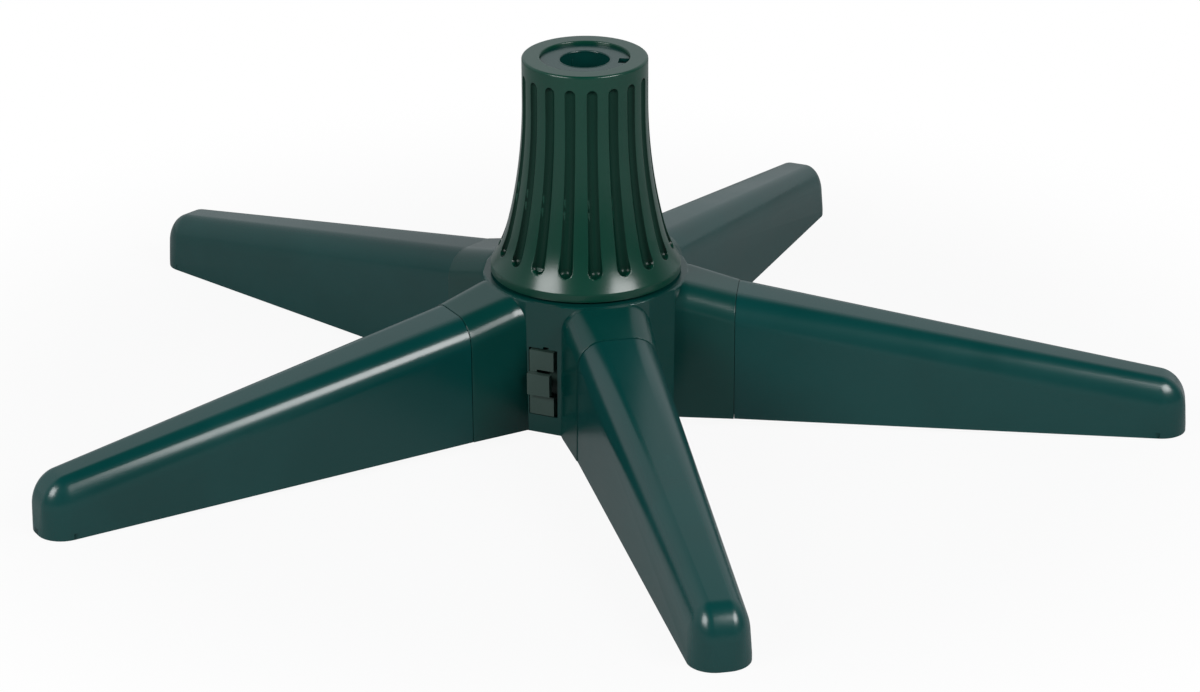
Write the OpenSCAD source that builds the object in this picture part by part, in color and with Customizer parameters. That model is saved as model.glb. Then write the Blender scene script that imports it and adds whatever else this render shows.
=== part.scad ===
// Rotating stand for an artificial christmas tree.
// A round hub with five stub arms takes five plug-in legs. A synchronous motor inside the hub
// turns the spindle through a gear pair, a thrust bearing carries the tree's weight, and the
// fluted collar turns with the spindle. A lift-out adaptor in the collar takes the pole.
// Z is up. The origin is on the axis of rotation, at floor level. Leg 1 points along -Y, and
// the others follow counter-clockwise, seen from above. Directions round the axis are given
// as azimuths: 0 is -Y, and 90 is +X. All sizes are in millimetres.

/* [Overall] */
// Reach of a leg, from the axis of rotation to the tip of its toe
leg_reach = 391; // [340:1:440]
// Height of the collar's rim above the floor
stand_h = 243; // [218:1:270]
// Diameter of the tree's pole
pole_d = 31.75; // [28:0.05:33]
// Play between the pole and its bore, on the diameter
pole_play = 0.45; // [0.3:0.05:1.5]

/* [Hub] */
// Radius of the hub's drum
hub_r = 67; // [66:0.5:72]
// Height of the drum's top above the floor
hub_h = 97; // [94:0.5:102]
// Gap between the drum and the floor
hub_lift = 7; // [5:0.5:9]
// Thickness of the drum's wall
hub_wall = 4; // [3:0.25:5]
// Depth of the flats between the arms, cut into the drum
flat_cut = 1.2; // [0.4:0.1:2]
// Radius of the drum's top edge
hub_edge = 1.2; // [0.5:0.1:2]
// Depth of the bearing's recess in the drum's top
deck_drop = 11; // [9:0.5:13]
// Thickness of the deck, the seat walls and the arms
wall = 3; // [2.5:0.25:3.5]
// Diameter of the screw bosses inside the hub
boss_d = 8.4; // [7:0.2:9]

/* [Arms and legs] */
// Distance from the axis to the seam between stub arm and leg
seam_r = 99; // [92:1:108]
// Width of a stub arm at the drum
root_w = 57.2; // [52:0.2:60]
// Width of a stub arm at the seam
seam_w = 52.8; // [48:0.2:56]
// Height of a stub arm's top at the seam, above the floor
seam_h = 88.4; // [84:0.1:93]
// Radius of the shoulders at the drum
root_shoulder = 16.5; // [12:0.5:20]
// Radius of the shoulders at the seam
seam_shoulder = 17.4; // [13:0.1:20]
// Width of the toe
toe_w = 37.8; // [34:0.1:44]
// Height of the toe's top, above the floor
toe_h = 39.7; // [34:0.1:50]
// Radius of the toe's shoulders
toe_shoulder = 13.5; // [10:0.1:15]
// Height over which the toe's top rounds down to its front
toe_round = 22.6; // [14:0.2:26]
// Length over which the toe's top rounds down to its front
toe_nose = 19.5; // [14:0.5:26]
// Radius of the toe's corners, seen from above
toe_corner = 16.8; // [9:0.1:17]
// How far the toe's front leans out from its top to its foot
toe_rake = 0.8; // [0:0.1:5]
// Lean of the sides, outwards for each millimetre down
side_draft = 0.012; // [0:0.002:0.03]
// Step from a stub arm's surface in to the leg's
leg_step_in = 0.4; // [0.2:0.1:1]
// Length of the tongue that plugs into the stub arm
tongue_l = 27; // [20:1:29]
// Thickness of the tongue
tongue_t = 2.6; // [2:0.2:3.4]
// Thickness of the stiffening ribs
rib_t = 1.8; // [1.4:0.1:2.4]
// Spacing of the cross ribs along a leg
rib_pitch = 48; // [36:1:70]
// Distance from the seam to the first cross rib
rib_start = 24; // [18:1:34]

/* [Feet] */
// Diameter of a rubber foot pad
pad_d = 20; // [14:0.5:24]
// Thickness of a foot pad
pad_t = 3; // [2.4:0.2:4]
// How far a pad stands below the edge of the leg
pad_proud = 0.8; // [0.4:0.1:2]
// Distance from the tip of the toe to the pad's centre
pad_setback = 24; // [21:0.5:32]

/* [Collar] */
// Radius of the collar's neck
neck_r = 40.4; // [37:0.1:43]
// Height of the straight neck below the rim
neck_h = 28; // [20:1:34]
// How far the long flare runs out from the neck
flare_out = 10.2; // [8:0.1:12]
// Height of the skirt, from the band up to the long flare
skirt_h = 26.4; // [24:0.2:30]
// Radius of the collar's foot
foot_r = 61.75; // [60:0.25:64]
// Height of the straight band round the collar's foot
band_h = 5; // [3:0.5:7]
// Thickness of the collar's wall
collar_wall = 5.5; // [5:0.25:6.5]
// Radius of the rim's outer edge
rim_edge = 1.5; // [0.6:0.1:2]
// Radius of the edge between the rim and the adaptor's seat
seat_edge = 0.8; // [0.4:0.1:1.2]
// Gap between the collar's foot and the drum's top
collar_gap = 1.6; // [0.8:0.1:2]
// Number of flutes round the collar
flute_count = 18; // [12:1:20]
// Azimuth of the first flute
flute_azimuth = -5.4; // [-10:0.1:10]
// Radius of the round cutter that sinks the flutes
flute_r = 4.9; // [4.4:0.1:5.4]
// Depth of a flute at its top
flute_depth = 1.6; // [1.2:0.1:2]
// How far a flute's cutter runs out on its way down to the foot end
flute_out = 12.6; // [11.6:0.1:13.4]
// Distance from the rim to the centre of a flute's round top end
flute_top_gap = 13; // [12:0.2:18]
// Height of the centre of a flute's round foot end above the collar's foot
flute_foot_gap = 18.4; // [17:0.2:24]

/* [Pole adaptor] */
// Diameter of the adaptor's flange
flange_d = 57.2; // [54:0.2:60]
// Depth of the flange's top below the rim
flange_drop = 2.2; // [1.4:0.2:4]
// Thickness of the flange
flange_t = 4; // [3:0.25:5]
// Thickness of the adaptor's sleeve
sleeve_t = 2.3; // [1.8:0.1:3]
// Width of the finger notch in the flange
notch_w = 9; // [6:0.5:10]
// Depth of the finger notch, from the flange's rim inwards
notch_l = 7; // [5:0.5:8]
// Azimuth of the finger notch
notch_azimuth = 71; // [60:1:85]

/* [Spindle and bearing] */
// Inner diameter of the spindle's tube
tube_id = 42.4; // [41.4:0.2:44]
// Thickness of the tube
tube_t = 2.8; // [2.4:0.1:3.2]
// Thickness of the turntable flange
turntable_t = 4; // [3:0.25:5]
// Diameter of the journal pin
pin_d = 14; // [10:0.5:15]
// Diameter of the bearing balls
ball_d = 7; // [6:0.5:8]
// Number of bearing balls
ball_count = 20; // [12:1:24]
// Radius of the circle of balls
ball_circle_r = 40; // [38:0.5:43]
// Width of a race ring
race_w = 9.6; // [9:0.2:11]
// Thickness of a race ring
race_t = 2; // [1.8:0.1:2.6]
// Thickness of the ball cage
cage_t = 2; // [1.4:0.1:2.6]

/* [Drive] */
// Module of the gears
gear_module = 1.25; // [1.15:0.05:1.25]
// Teeth on the drive gear
gear_teeth = 56; // [52:1:58]
// Teeth on the pinion
pinion_teeth = 16; // [14:1:18]
// Width of the drive gear
gear_t = 10; // [7:0.5:12]
// Thinning of each tooth flank, for play in the mesh
gear_slack = 0.08; // [0.05:0.01:0.15]
// Diameter of the motor's can
motor_d = 50; // [46:0.5:51]
// Height of the motor's can
motor_h = 22; // [16:0.5:26]
// Distance from the can's centre to the output shaft
shaft_offset = 8; // [7:0.5:12]
// Diameter of the output shaft
shaft_d = 7; // [5:0.5:8]
// Azimuth of the motor
motor_azimuth = 108; // [100:1:116]
// Distance from the deck's underside down to the chassis plate's underside
chassis_drop = 33; // [30:0.5:37]
// Thickness of the chassis plate
chassis_t = 3; // [2:0.25:3.5]

/* [Switch and cord inlet] */
// Azimuth of the switch, in the flat between leg 1 and leg 5
switch_azimuth = -36; // [-37:0.5:-35]
// Width of the window in the drum
window_w = 20; // [19:0.5:21]
// Height of the window
window_h = 46.6; // [42:0.2:50]
// Height of the window's centre above the floor
window_z = 42.5; // [40:0.5:45]
// Width of the switch plate
plate_w = 16.8; // [15:0.2:18]
// Height of the switch plate
plate_h = 44.2; // [38:0.2:46]
// How far the plate stands out of the flat
plate_proud = 1.5; // [0.5:0.1:2.5]
// Width of the slider's block
block_w = 15.7; // [12:0.1:17]
// Height of the slider's block
block_h = 14.6; // [13:0.2:16]
// Thickness of the slider's block
block_t = 4; // [3:0.25:5]
// Travel of the slider, up and down from its middle place
slide_travel = 5.5; // [4:0.5:6]
// Bore of the cord gland
gland_bore = 7.2; // [6:0.1:8]
// Diameter of the gland's flange
gland_d = 16; // [14:0.5:18]
// Height of the gland's axis above the floor
gland_z = 24; // [20:0.5:30]

/* [Screws] */
// Shank diameter of the screws
screw_d = 3; // [2.6:0.1:3.2]
// Head diameter of the screws
head_d = 6; // [5:0.1:6.4]
// Head height of the screws
head_h = 2.2; // [1.8:0.1:2.6]

/* [Hidden] */
$fn = 64;
hull_fn = 32; // facets of the round children of a hull
curve_fn = 360; // facets of the long shallow arcs
leg_step = 72; // angle between two of the five legs
shoulder_steps = 8; // facets of a lofted shoulder
cut = 1; // overshoot of a cut past the face that it opens
sink = 0.5; // how deep a piece of a moulding runs into the piece that carries it

// Radius of an arc that starts upright and runs out by out over the height h
function arc_radius(h, out) = (h*h + out*out)/(2*out);

// Clearances
run_gap = 0.3; // between pieces that pass each other
fit_gap = 0.05; // between a shaft and its bore, and round a screw's shank
plug_gap = 0.35; // round a tongue in its stub arm

// Drum
hub_in_r = hub_r - hub_wall;
flat_r = hub_r - flat_cut;
deck_z = hub_h - deck_drop;
deck_under = deck_z - wall;
deck_rim_h = 5;
chassis_z = deck_under - chassis_drop;

// Bearing
groove_r = ball_d/2 + run_gap;
groove_depth = 0.6*race_t;
ball_z = deck_z + race_t + groove_r - groove_depth;
race_gap = 2*(groove_r - groove_depth);
race_in_r = ball_circle_r - race_w/2;
race_out_r = ball_circle_r + race_w/2;
deck_hole_r = race_in_r - 0.9;
cage_margin = 0.4; // from a race's edge in to the cage's
race_stop_t = 1.5;
race_stop_h = 1.2;

// Collar
collar_z = hub_h + collar_gap;
neck_z = stand_h - neck_h;
band_z = collar_z + band_h;
flare_z = band_z + skirt_h;
flare_h = neck_z - flare_z;
flare_r = arc_radius(flare_h, flare_out); // radius of the long flare, seen from the side
flare_angle = asin(flare_h/flare_r); // lean of the wall where the long flare ends
flare_end_r = neck_r + flare_out;
skirt_angle = 2*atan((foot_r - flare_end_r)/skirt_h) - flare_angle;
skirt_r = skirt_h/(sin(skirt_angle) - sin(flare_angle));
flute_axis_r = neck_r + flute_r - flute_depth;
flute_top_z = stand_h - flute_top_gap;
flute_foot_z = collar_z + flute_foot_gap;
flute_bend_z = neck_z + 3; // where the cutter's path starts to bend
flute_path_r = arc_radius(flute_bend_z - flute_foot_z, flute_out);
flute_angle = asin((flute_bend_z - flute_foot_z)/flute_path_r);

// Spindle
tube_r = tube_id/2;
tube_out_r = tube_r + tube_t;
turntable_r = foot_r - collar_wall - run_gap;
turntable_z = deck_z + 2*race_t + race_gap;
turntable_top = turntable_z + turntable_t;
recess_r = turntable_r + 2.5;
chassis_top = chassis_z + chassis_t;
bush_flange_t = 1.5;
tube_z = chassis_top + bush_flange_t + 2.5; // underside of the spindle's floor
tube_floor = 3;
pole_stop_z = tube_z + tube_floor;
gear_z = pole_stop_z + 2;
gear_top = gear_z + gear_t;
shoulder_w = 3;
shoulder_h = 3;
ring_t = 1;
ring_groove = 1;
ring_out = 2.2; // from the tube out to the ring's edge
ring_gap_w = 8;
key_w = 2.4;
key_h = 1.4;
key_count = 3;
gusset_t = 2.5;
gusset_count = 8;
gusset_h = 26;
gusset_end_h = 3;
gusset_setback = 8; // from the turntable's rim in to a gusset's end
pin_z = chassis_z - 7;
clip_z = pin_z + 1.5;
clip_t = 1;
clip_groove = 1;
clip_w = 2.5;

// Adaptor and its seat
flange_z = stand_h - flange_drop - flange_t;
seat_r = flange_d/2 + run_gap;
seat_t = 4;
sleeve_r = (pole_d + pole_play)/2;
sleeve_out_r = sleeve_r + sleeve_t;
fin_r = tube_r - run_gap;
fin_t = 2.4;
fin_count = 4;
fin_up = 2; // from the sleeve's foot up to the fins
sleeve_z = pole_stop_z + 4;
lug_w = 6;
lug_h = 2.4;
lug_azimuths = [notch_azimuth + 90, notch_azimuth - 90];

// Bosses and screws
boss_r = boss_d/2;
hole_d = screw_d + 2*fit_gap; // hole that the screw's thread fills
pass_d = screw_d + 0.8; // hole that the screw passes through
screw_l = 12;
chassis_screw_r = hub_in_r - 8;
base_screw_r = hub_in_r - boss_r - 1.5;
base_boss_h = 18;
base_t = 2.5;
base_r = hub_in_r - 0.5;
base_top = hub_lift + base_t;
base_ring_w = 2; // stiffening rings on the base plate
base_ring_h = 2.5;
collar_screw_r = turntable_r - boss_r - 1.3;
collar_screw_azimuths = [45, 135, 225, 315];
collar_boss_h = 16;

// Chassis plate
chassis_margin = 3; // from the drum's wall in to the plate
chassis_rib_w = 2;
chassis_rib_h = 2.5;
chassis_rib_in = 4; // from the bush out to a rib's start
chassis_rib_out = 8; // from a rib's end out to the screw
switch_room = 3; // round the switch
lead_gap_w = 16; // cut-out for the leads
lead_gap_l = 18;

// Motor and gears
gear_pitch_r = gear_module*gear_teeth/2;
pinion_pitch_r = gear_module*pinion_teeth/2;
shaft_r = gear_pitch_r + pinion_pitch_r; // distance from the axis to the motor's shaft
motor_r = shaft_r - shaft_offset; // distance from the axis to the can's centre
motor_z = chassis_z - motor_h;
can_edge_h = 1.5; // narrower edge at the can's foot
can_step = 0.8; // from the can's widest part in to its ends
can_top_h = 6.5; // narrower part at the can's top
lid_h = 3;
lid_step = 0.3;
lid_drop = 1; // from the ears down to the lid's edge
shaft_in = 7.5; // how deep the shaft stands in the can
shaft_proud = 0.5; // of the pinion
ear_t = 1.5;
ear_w = 8;
ear_reach = motor_d/2 + 4;
motor_boss_d = 12;
pinion_t = gear_t + 2;
pinion_z = gear_z - 1;
shaft_flat = 0.8;
lead_block = [12, 7, 9]; // where the leads enter the motor
lead_block_in = 4; // how deep it sits in the can
lead_block_z = 3; // above the can's foot

// Bush
bush_t = 3;
bush_z = chassis_z - 4;
bush_r = pin_d/2 + fit_gap + bush_t;
bush_flange_w = 2;

// Arms and legs. A section is [half width at the shoulders, top, shoulder radius, bottom].
toe_lift = pad_proud;
toe_post_h = 4; // upright stretch at the toe's foot
leg_r = seam_r + run_gap; // where the leg's own shell starts
root_r = hub_r - 9; // where the stub arm's surface starts, inside the drum's wall
root_flat_r = hub_r - 1;
root_h = hub_h - 0.2;
seam_bottom = hub_lift - (hub_lift - toe_lift)*(seam_r - hub_r)/(leg_reach - hub_r);
root_section = [root_w/2, root_h, root_shoulder, hub_lift + 0.3];
seam_section = [seam_w/2, seam_h, seam_shoulder, seam_bottom];
leg_section = [seam_w/2 - leg_step_in, seam_h - leg_step_in, seam_shoulder, seam_bottom];
socket_section = [seam_w/2 - wall, seam_h - wall, seam_shoulder - wall, seam_bottom - 2*wall];
tongue_bottom = seam_bottom + 1.5;
post_d = 14;
stem_d = 6;
stem_l = 11;
rib_clear = 4; // from the leg's edge up to the ribs

// Switch. Its frame has -Y pointing out of the flat and X along it.
window_x = -0.8;
plate_x = -1.2;
block_x = -1.75;
flange_x = -1;
flange_w = 24;
flange_margin = 8; // of the switch plate's flange, above and below the window
flange_h = window_h + 2*flange_margin;
switch_flange_t = 2;
switch_screw_z = flange_h/2 - flange_margin/2; // up and down from the window's centre
pad_face_r = hub_in_r - 2; // flat seat inside the drum for the plate's flange
pad_margin = 1; // of that seat round the flange
pilot_l = 3.2; // depth of the switch screws' holes
window_notch = [4, 1.5]; // small notch in the window's top edge
slot_x = plate_x - plate_w/2 + 5; // left edge of the slider's slot, which is open to the right
neck_w = 5.9;
neck_h_z = 6;
slot_h = neck_h_z + 2*slide_travel + 1;
slot_w = neck_w + 2*run_gap;
body_w = 16;
body_h = 36;
body_t = 12;
cavity_t = 5;

// Cord gland
gland_r = gland_bore/2 + 2.8;
gland_flange_t = 2.5;
gland_nut_t = 5;
gland_nut_d = 18;
gland_inner = hub_in_r - 0.8;

shell_green = "#24503f";
leg_green = "#1f4a42";
inner_grey = "#8f9498";
nylon_white = "#e4e2d8";
steel = "#b6babd";
rubber_black = "#1a1c1c";

// Turns and moves a shape from the -Y direction to an azimuth, at a distance from the axis
module at(azimuth, r = 0, z = 0)
    rotate([0, 0, azimuth]) translate([0, -r, z]) children();

// Places a flat outline across a leg that points along -Y, and extrudes it outwards from r
module along(r, length)
    rotate([90, 0, 0]) translate([0, 0, r]) linear_extrude(length) children();

module tube(r_out, r_in, h)
    difference() {
        cylinder(r = r_out, h = h);
        translate([0, 0, -cut]) cylinder(r = r_in, h = h + 2*cut);
    }

// A pan-head screw that points up, with the underside of its head at z = 0
module screw() {
    translate([0, 0, -head_h]) cylinder(d1 = head_d - 1.2, d2 = head_d, h = head_h);
    cylinder(d = screw_d, h = screw_l);
}

// Closed solid through a list of rings that have the same number of points
module loft(rings) {
    n = len(rings[0]);
    last = (len(rings) - 1)*n;
    polyhedron(
        [for (ring = rings) for (i = [n - 1:-1:0]) ring[i]],
        concat(
            [[for (i = [n - 1:-1:0]) i]],
            [for (k = [0:len(rings) - 2]) for (i = [0:n - 1]) let (a = k*n + i, b = k*n + (i + 1)%n)
                each [[a, b, b + n], [a, b + n, a + n]]],
            [[for (i = [0:n - 1]) last + i]]));
}

// ---- Arms and legs ----

// A section set in by t from its surface, with its bottom lowered by down
function set_in(s, t, down = 0) = [s[0] - t, s[1] - t, max(s[2] - t, 1), s[3] - down];

// Outline of an arm: leaning sides and round shoulders
function arch(s) =
    let (foot = s[0] + side_draft*(s[1] - s[2] - s[3]), quarter = 90/shoulder_steps)
    concat(
        [[foot, s[3]]],
        [for (i = [0:shoulder_steps]) [s[0] - s[2]*(1 - cos(quarter*i)), s[1] - s[2]*(1 - sin(quarter*i))]],
        [for (i = [shoulder_steps:-1:0]) [s[2]*(1 - cos(quarter*i)) - s[0], s[1] - s[2]*(1 - sin(quarter*i))]],
        [[-foot, s[3]]]);

// The same outline with upright sides and true arcs, for the plug and its socket
module plug_outline(s, bottom) {
    translate([-s[0], bottom]) square([2*s[0], s[1] - s[2] - bottom]);
    translate([s[2] - s[0], bottom]) square([2*(s[0] - s[2]), s[1] - bottom]);
    for (side = [-1, 1]) translate([side*(s[0] - s[2]), s[1] - s[2]]) circle(s[2]);
}

function ring_at(r, s) = [for (p = arch(s)) [p[0], -r, p[1]]];

module stub_arm()
    difference() {
        loft([ring_at(root_r, root_section), ring_at(root_flat_r, root_section), ring_at(seam_r, seam_section)]);
        difference() {
            along(root_r, seam_r - root_r + cut) plug_outline(socket_section, hub_lift - 2*wall);
            cylinder(r = hub_r + 1, h = stand_h);
        }
    }

// Upper half of a sphere of radius 1
module dome() rotate_extrude($fn = hull_fn) intersection() {
    circle(1, $fn = hull_fn);
    square(1);
}

// Outer form of a leg set in by t, from the distance r0 to the toe
module leg_form(t, r0, down = 0)
    hull() {
        along(r0, 1) polygon(arch(set_in(leg_section, t, down)));
        for (side = [-1, 1]) {
            translate([side*(toe_w/2 + side_draft*toe_h - toe_corner), toe_corner - leg_reach, toe_lift - down])
                cylinder(r = toe_corner - t, h = toe_post_h, $fn = hull_fn);
            translate([side*(toe_w/2 - toe_shoulder), toe_nose + toe_rake - leg_reach, toe_h - toe_round])
                scale([toe_shoulder - t, toe_nose - t, toe_round - t]) dome();
        }
    }

module leg_ribs() {
    rib_from = leg_r + rib_start;
    rib_to = leg_reach - pad_setback - post_d;
    for (r = [rib_from:rib_pitch:rib_to])
        translate([-seam_w/2, -r - rib_t, rib_clear + hub_lift]) cube([seam_w, rib_t, seam_h]);
    translate([-rib_t/2, -rib_to - post_d, rib_clear + hub_lift]) cube([rib_t, rib_to + post_d - leg_r - 1.5, seam_h]);
    translate([0, pad_setback - leg_reach, pad_t]) cylinder(d = post_d, h = seam_h);
}

module leg_moulding()
    color(leg_green)
    difference() {
        union() {
            difference() {
                leg_form(0, leg_r);
                leg_form(wall, leg_r + wall, 2*wall);
            }
            intersection() {
                leg_form(wall/2, leg_r + 1);
                leg_ribs();
            }
            along(seam_r - tongue_l, tongue_l + wall + run_gap)
                plug_outline(set_in(socket_section, plug_gap), tongue_bottom);
        }
        along(seam_r - tongue_l - cut, tongue_l + wall + run_gap + cut)
            plug_outline(set_in(socket_section, plug_gap + tongue_t), tongue_bottom - 2*wall);
        translate([0, pad_setback - leg_reach, 0]) cylinder(d = stem_d + 2*fit_gap, h = pad_t + stem_l + 1);
    }

module foot_pad()
    color(rubber_black)
    translate([0, pad_setback - leg_reach, 0]) {
        cylinder(d1 = pad_d - 1, d2 = pad_d, h = 0.5);
        translate([0, 0, 0.5]) cylinder(d = pad_d, h = pad_t - 0.5);
        cylinder(d = stem_d, h = pad_t + stem_l);
    }

module leg_1() at(0) leg_moulding();
module leg_2() at(leg_step) leg_moulding();
module leg_3() at(2*leg_step) leg_moulding();
module leg_4() at(3*leg_step) leg_moulding();
module leg_5() at(4*leg_step) leg_moulding();
module foot_pad_1() at(0) foot_pad();
module foot_pad_2() at(leg_step) foot_pad();
module foot_pad_3() at(2*leg_step) foot_pad();
module foot_pad_4() at(3*leg_step) foot_pad();
module foot_pad_5() at(4*leg_step) foot_pad();

// ---- Hub ----

module drum_outline() {
    translate([0, hub_lift]) square([hub_r, hub_h - hub_edge - hub_lift]);
    translate([0, hub_lift]) square([hub_r - hub_edge, hub_h - hub_lift]);
    translate([hub_r - hub_edge, hub_h - hub_edge]) circle(hub_edge);
}

module drum()
    difference() {
        rotate_extrude() drum_outline();
        for (i = [0:4])
            at(leg_step*(i + 0.5), 0, hub_lift - cut)
                translate([-hub_r/2, -flat_r - hub_r, 0]) cube([hub_r, hub_r, hub_h]);
    }

// Half section of the space inside the drum: the chamber, the deck's hole and the bearing's recess
module chamber_outline() {
    difference() {
        translate([0, hub_lift - cut]) square([hub_in_r, deck_under - hub_lift + cut]);
        translate([deck_hole_r, deck_under - deck_rim_h]) square([wall, deck_rim_h + cut]);
    }
    translate([0, hub_lift - cut]) square([deck_hole_r, hub_h]);
    difference() {
        translate([0, deck_z]) square([recess_r, deck_drop + cut]);
        translate([race_out_r + 0.2, deck_z - cut]) square([race_stop_t, race_stop_h + cut]);
    }
}

module hub_bosses() {
    for (i = [0:4]) {
        at(leg_step*i, chassis_screw_r, chassis_top) cylinder(d = boss_d, h = deck_under - chassis_top + cut);
        at(leg_step*i, base_screw_r, base_top) {
            cylinder(d = boss_d, h = base_boss_h);
            translate([-wall/2, base_screw_r - hub_in_r - 1, 0]) cube([wall, hub_in_r - base_screw_r + 1, base_boss_h]);
        }
    }
    // flat seat for the switch plate's flange
    at(switch_azimuth)
        translate([window_x - flange_w/2 - pad_margin, sink - flat_r, window_z - flange_h/2 - pad_margin])
            cube([flange_w + 2*pad_margin, flat_r - sink - pad_face_r, flange_h + 2*pad_margin]);
}

module hub_housing()
    color(shell_green)
    difference() {
        union() {
            difference() {
                union() {
                    drum();
                    for (i = [0:4]) at(leg_step*i) stub_arm();
                }
                rotate_extrude() chamber_outline();
            }
            hub_bosses();
        }
        for (i = [0:4]) {
            at(leg_step*i, chassis_screw_r, chassis_top - cut) cylinder(d = hole_d, h = screw_l + cut);
            at(leg_step*i, base_screw_r, base_top - cut) cylinder(d = hole_d, h = screw_l + cut);
        }
        at(switch_azimuth) {
            translate([window_x - window_w/2, -hub_r - cut, window_z - window_h/2])
                cube([window_w, hub_wall + 4, window_h]);
            translate([window_x, -hub_r - cut, window_z])
                cube([window_notch[0], hub_wall + 4, window_h/2 + window_notch[1]]);
            for (side = [-1, 1])
                translate([flange_x, -pad_face_r + cut, window_z + side*switch_screw_z])
                    rotate([90, 0, 0]) cylinder(d = hole_d, h = cut + pilot_l);
        }
        at(180, 0, gland_z) rotate([90, 0, 0]) cylinder(r = gland_r + 2*fit_gap, h = hub_r + cut);
    }

module base_plate()
    color(shell_green)
    difference() {
        union() {
            translate([0, 0, hub_lift]) cylinder(r = base_r, h = base_t);
            // stiffening rings on the upper side
            for (r = [base_r/3, 2*base_r/3]) translate([0, 0, base_top - sink])
                tube(r + base_ring_w/2, r - base_ring_w/2, base_ring_h + sink);
        }
        for (i = [0:4]) at(leg_step*i, base_screw_r, 0) cylinder(d = pass_d, h = stand_h);
    }

module base_screws()
    color(steel)
    for (i = [0:4]) at(leg_step*i, base_screw_r, hub_lift) screw();

module chassis_plate()
    color(inner_grey)
    difference() {
        union() {
            translate([0, 0, chassis_z]) cylinder(r = hub_in_r - chassis_margin, h = chassis_t);
            for (i = [0:4])
                at(leg_step*i)
                    translate([-chassis_rib_w/2, chassis_rib_out - chassis_screw_r, chassis_top - sink])
                        cube([chassis_rib_w, chassis_screw_r - chassis_rib_out - bush_r - chassis_rib_in, chassis_rib_h + sink]);
        }
        translate([0, 0, chassis_z - cut]) cylinder(r = bush_r + fit_gap, h = chassis_t + 2*cut);
        for (i = [0:4]) at(leg_step*i, chassis_screw_r, chassis_z - cut) cylinder(d = pass_d, h = chassis_t + 2*cut);
        at(motor_azimuth, shaft_r, chassis_z - cut) cylinder(d = motor_boss_d + 2*run_gap, h = chassis_t + 2*cut);
        at(motor_azimuth, motor_r, chassis_z - cut)
            for (side = [-1, 1]) translate([side*ear_reach, 0, 0]) cylinder(d = hole_d, h = chassis_t + 2*cut);
        // room for the switch, and a cut-out that lets the leads past
        at(switch_azimuth) translate([flange_x - flange_w/2 - switch_room, -hub_r, chassis_z - cut])
            cube([flange_w + 2*switch_room, hub_r - pad_face_r + body_t + 2*switch_room, chassis_t + chassis_rib_h + 2*cut]);
        at(180) translate([-lead_gap_w/2, -hub_r, chassis_z - cut]) cube([lead_gap_w, lead_gap_l, chassis_t + 2*cut]);
    }

module chassis_screws()
    color(steel)
    for (i = [0:4]) at(leg_step*i, chassis_screw_r, chassis_z) screw();

module lower_bush()
    color(nylon_white)
    difference() {
        union() {
            translate([0, 0, bush_z]) cylinder(r = bush_r, h = chassis_top - bush_z);
            translate([0, 0, chassis_top]) cylinder(r = bush_r + bush_flange_w, h = bush_flange_t);
        }
        translate([0, 0, bush_z - cut]) cylinder(d = pin_d + 2*fit_gap, h = chassis_top - bush_z + bush_flange_t + 2*cut);
    }

// ---- Motor and gears ----

module gear_motor()
    color(steel)
    at(motor_azimuth, motor_r)
    difference() {
        union() {
            translate([0, 0, motor_z]) cylinder(d = motor_d - 2*can_step, h = motor_h);
            translate([0, 0, motor_z + can_edge_h]) cylinder(d = motor_d, h = motor_h - can_edge_h - can_top_h);
            translate([0, 0, chassis_z - lid_drop - lid_h]) cylinder(d = motor_d - 2*lid_step, h = lid_h);
            // ears
            translate([-ear_reach, -ear_w/2, chassis_z - ear_t]) cube([2*ear_reach, ear_w, ear_t]);
            for (side = [-1, 1])
                translate([side*ear_reach, 0, chassis_z - ear_t]) cylinder(d = ear_w, h = ear_t);
            // boss round the shaft
            translate([0, -shaft_offset, chassis_z - cut]) cylinder(d = motor_boss_d, h = chassis_t + cut);
            // block that the leads enter
            translate([-lead_block[0]/2, motor_d/2 - lead_block_in, motor_z + lead_block_z]) cube(lead_block);
        }
        translate([0, -shaft_offset, chassis_z - shaft_in - 0.5])
            cylinder(d = shaft_d + 2*fit_gap, h = shaft_in + 0.5 + chassis_t + cut);
        for (side = [-1, 1])
            translate([side*ear_reach, 0, chassis_z - ear_t - cut]) cylinder(d = hole_d, h = ear_t + 2*cut);
    }

module motor_screws()
    color(steel)
    at(motor_azimuth, motor_r, chassis_z - ear_t)
    for (side = [-1, 1]) translate([side*ear_reach, 0, 0]) {
        translate([0, 0, -head_h]) cylinder(d = head_d - 0.6, h = head_h);
        cylinder(d = screw_d, h = ear_t + chassis_t + 1);
    }

module motor_shaft()
    color(steel)
    at(motor_azimuth, shaft_r)
    difference() {
        translate([0, 0, chassis_z - shaft_in])
            cylinder(d = shaft_d, h = pinion_z + pinion_t + shaft_proud - chassis_z + shaft_in);
        translate([-shaft_d, shaft_d/2 - shaft_flat, pinion_z - 1]) cube([2*shaft_d, shaft_d, pinion_t + 4]);
    }

// Turn of an involute flank from the base circle out to radius r, in degrees
function flank_turn(r, base) =
    let (t = sqrt(max(pow(r/base, 2) - 1, 0))) t*180/PI - atan(t);

// Outline of a spur gear with 20-degree involute teeth, a tooth on the +X axis
function gear_outline(teeth) =
    let (
        pitch = gear_module*teeth/2,
        base = pitch*cos(20),
        root = pitch - 1.25*gear_module,
        tip = pitch + gear_module,
        start = max(root, base),
        half = 90/teeth - gear_slack/pitch*180/PI + flank_turn(pitch, base),
        flank = [for (i = [0:4]) let (r = start + (tip - start)*i/4) [r, half - flank_turn(r, base)]],
        side = concat([[root, flank[0][1] + 0.2]], flank))
    [for (k = [0:teeth - 1]) each concat(
        [for (p = side) [p[0]*cos(360*k/teeth - p[1]), p[0]*sin(360*k/teeth - p[1])]],
        [for (i = [len(side) - 1:-1:0]) let (p = side[i])
            [p[0]*cos(360*k/teeth + p[1]), p[0]*sin(360*k/teeth + p[1])]])];

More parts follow.
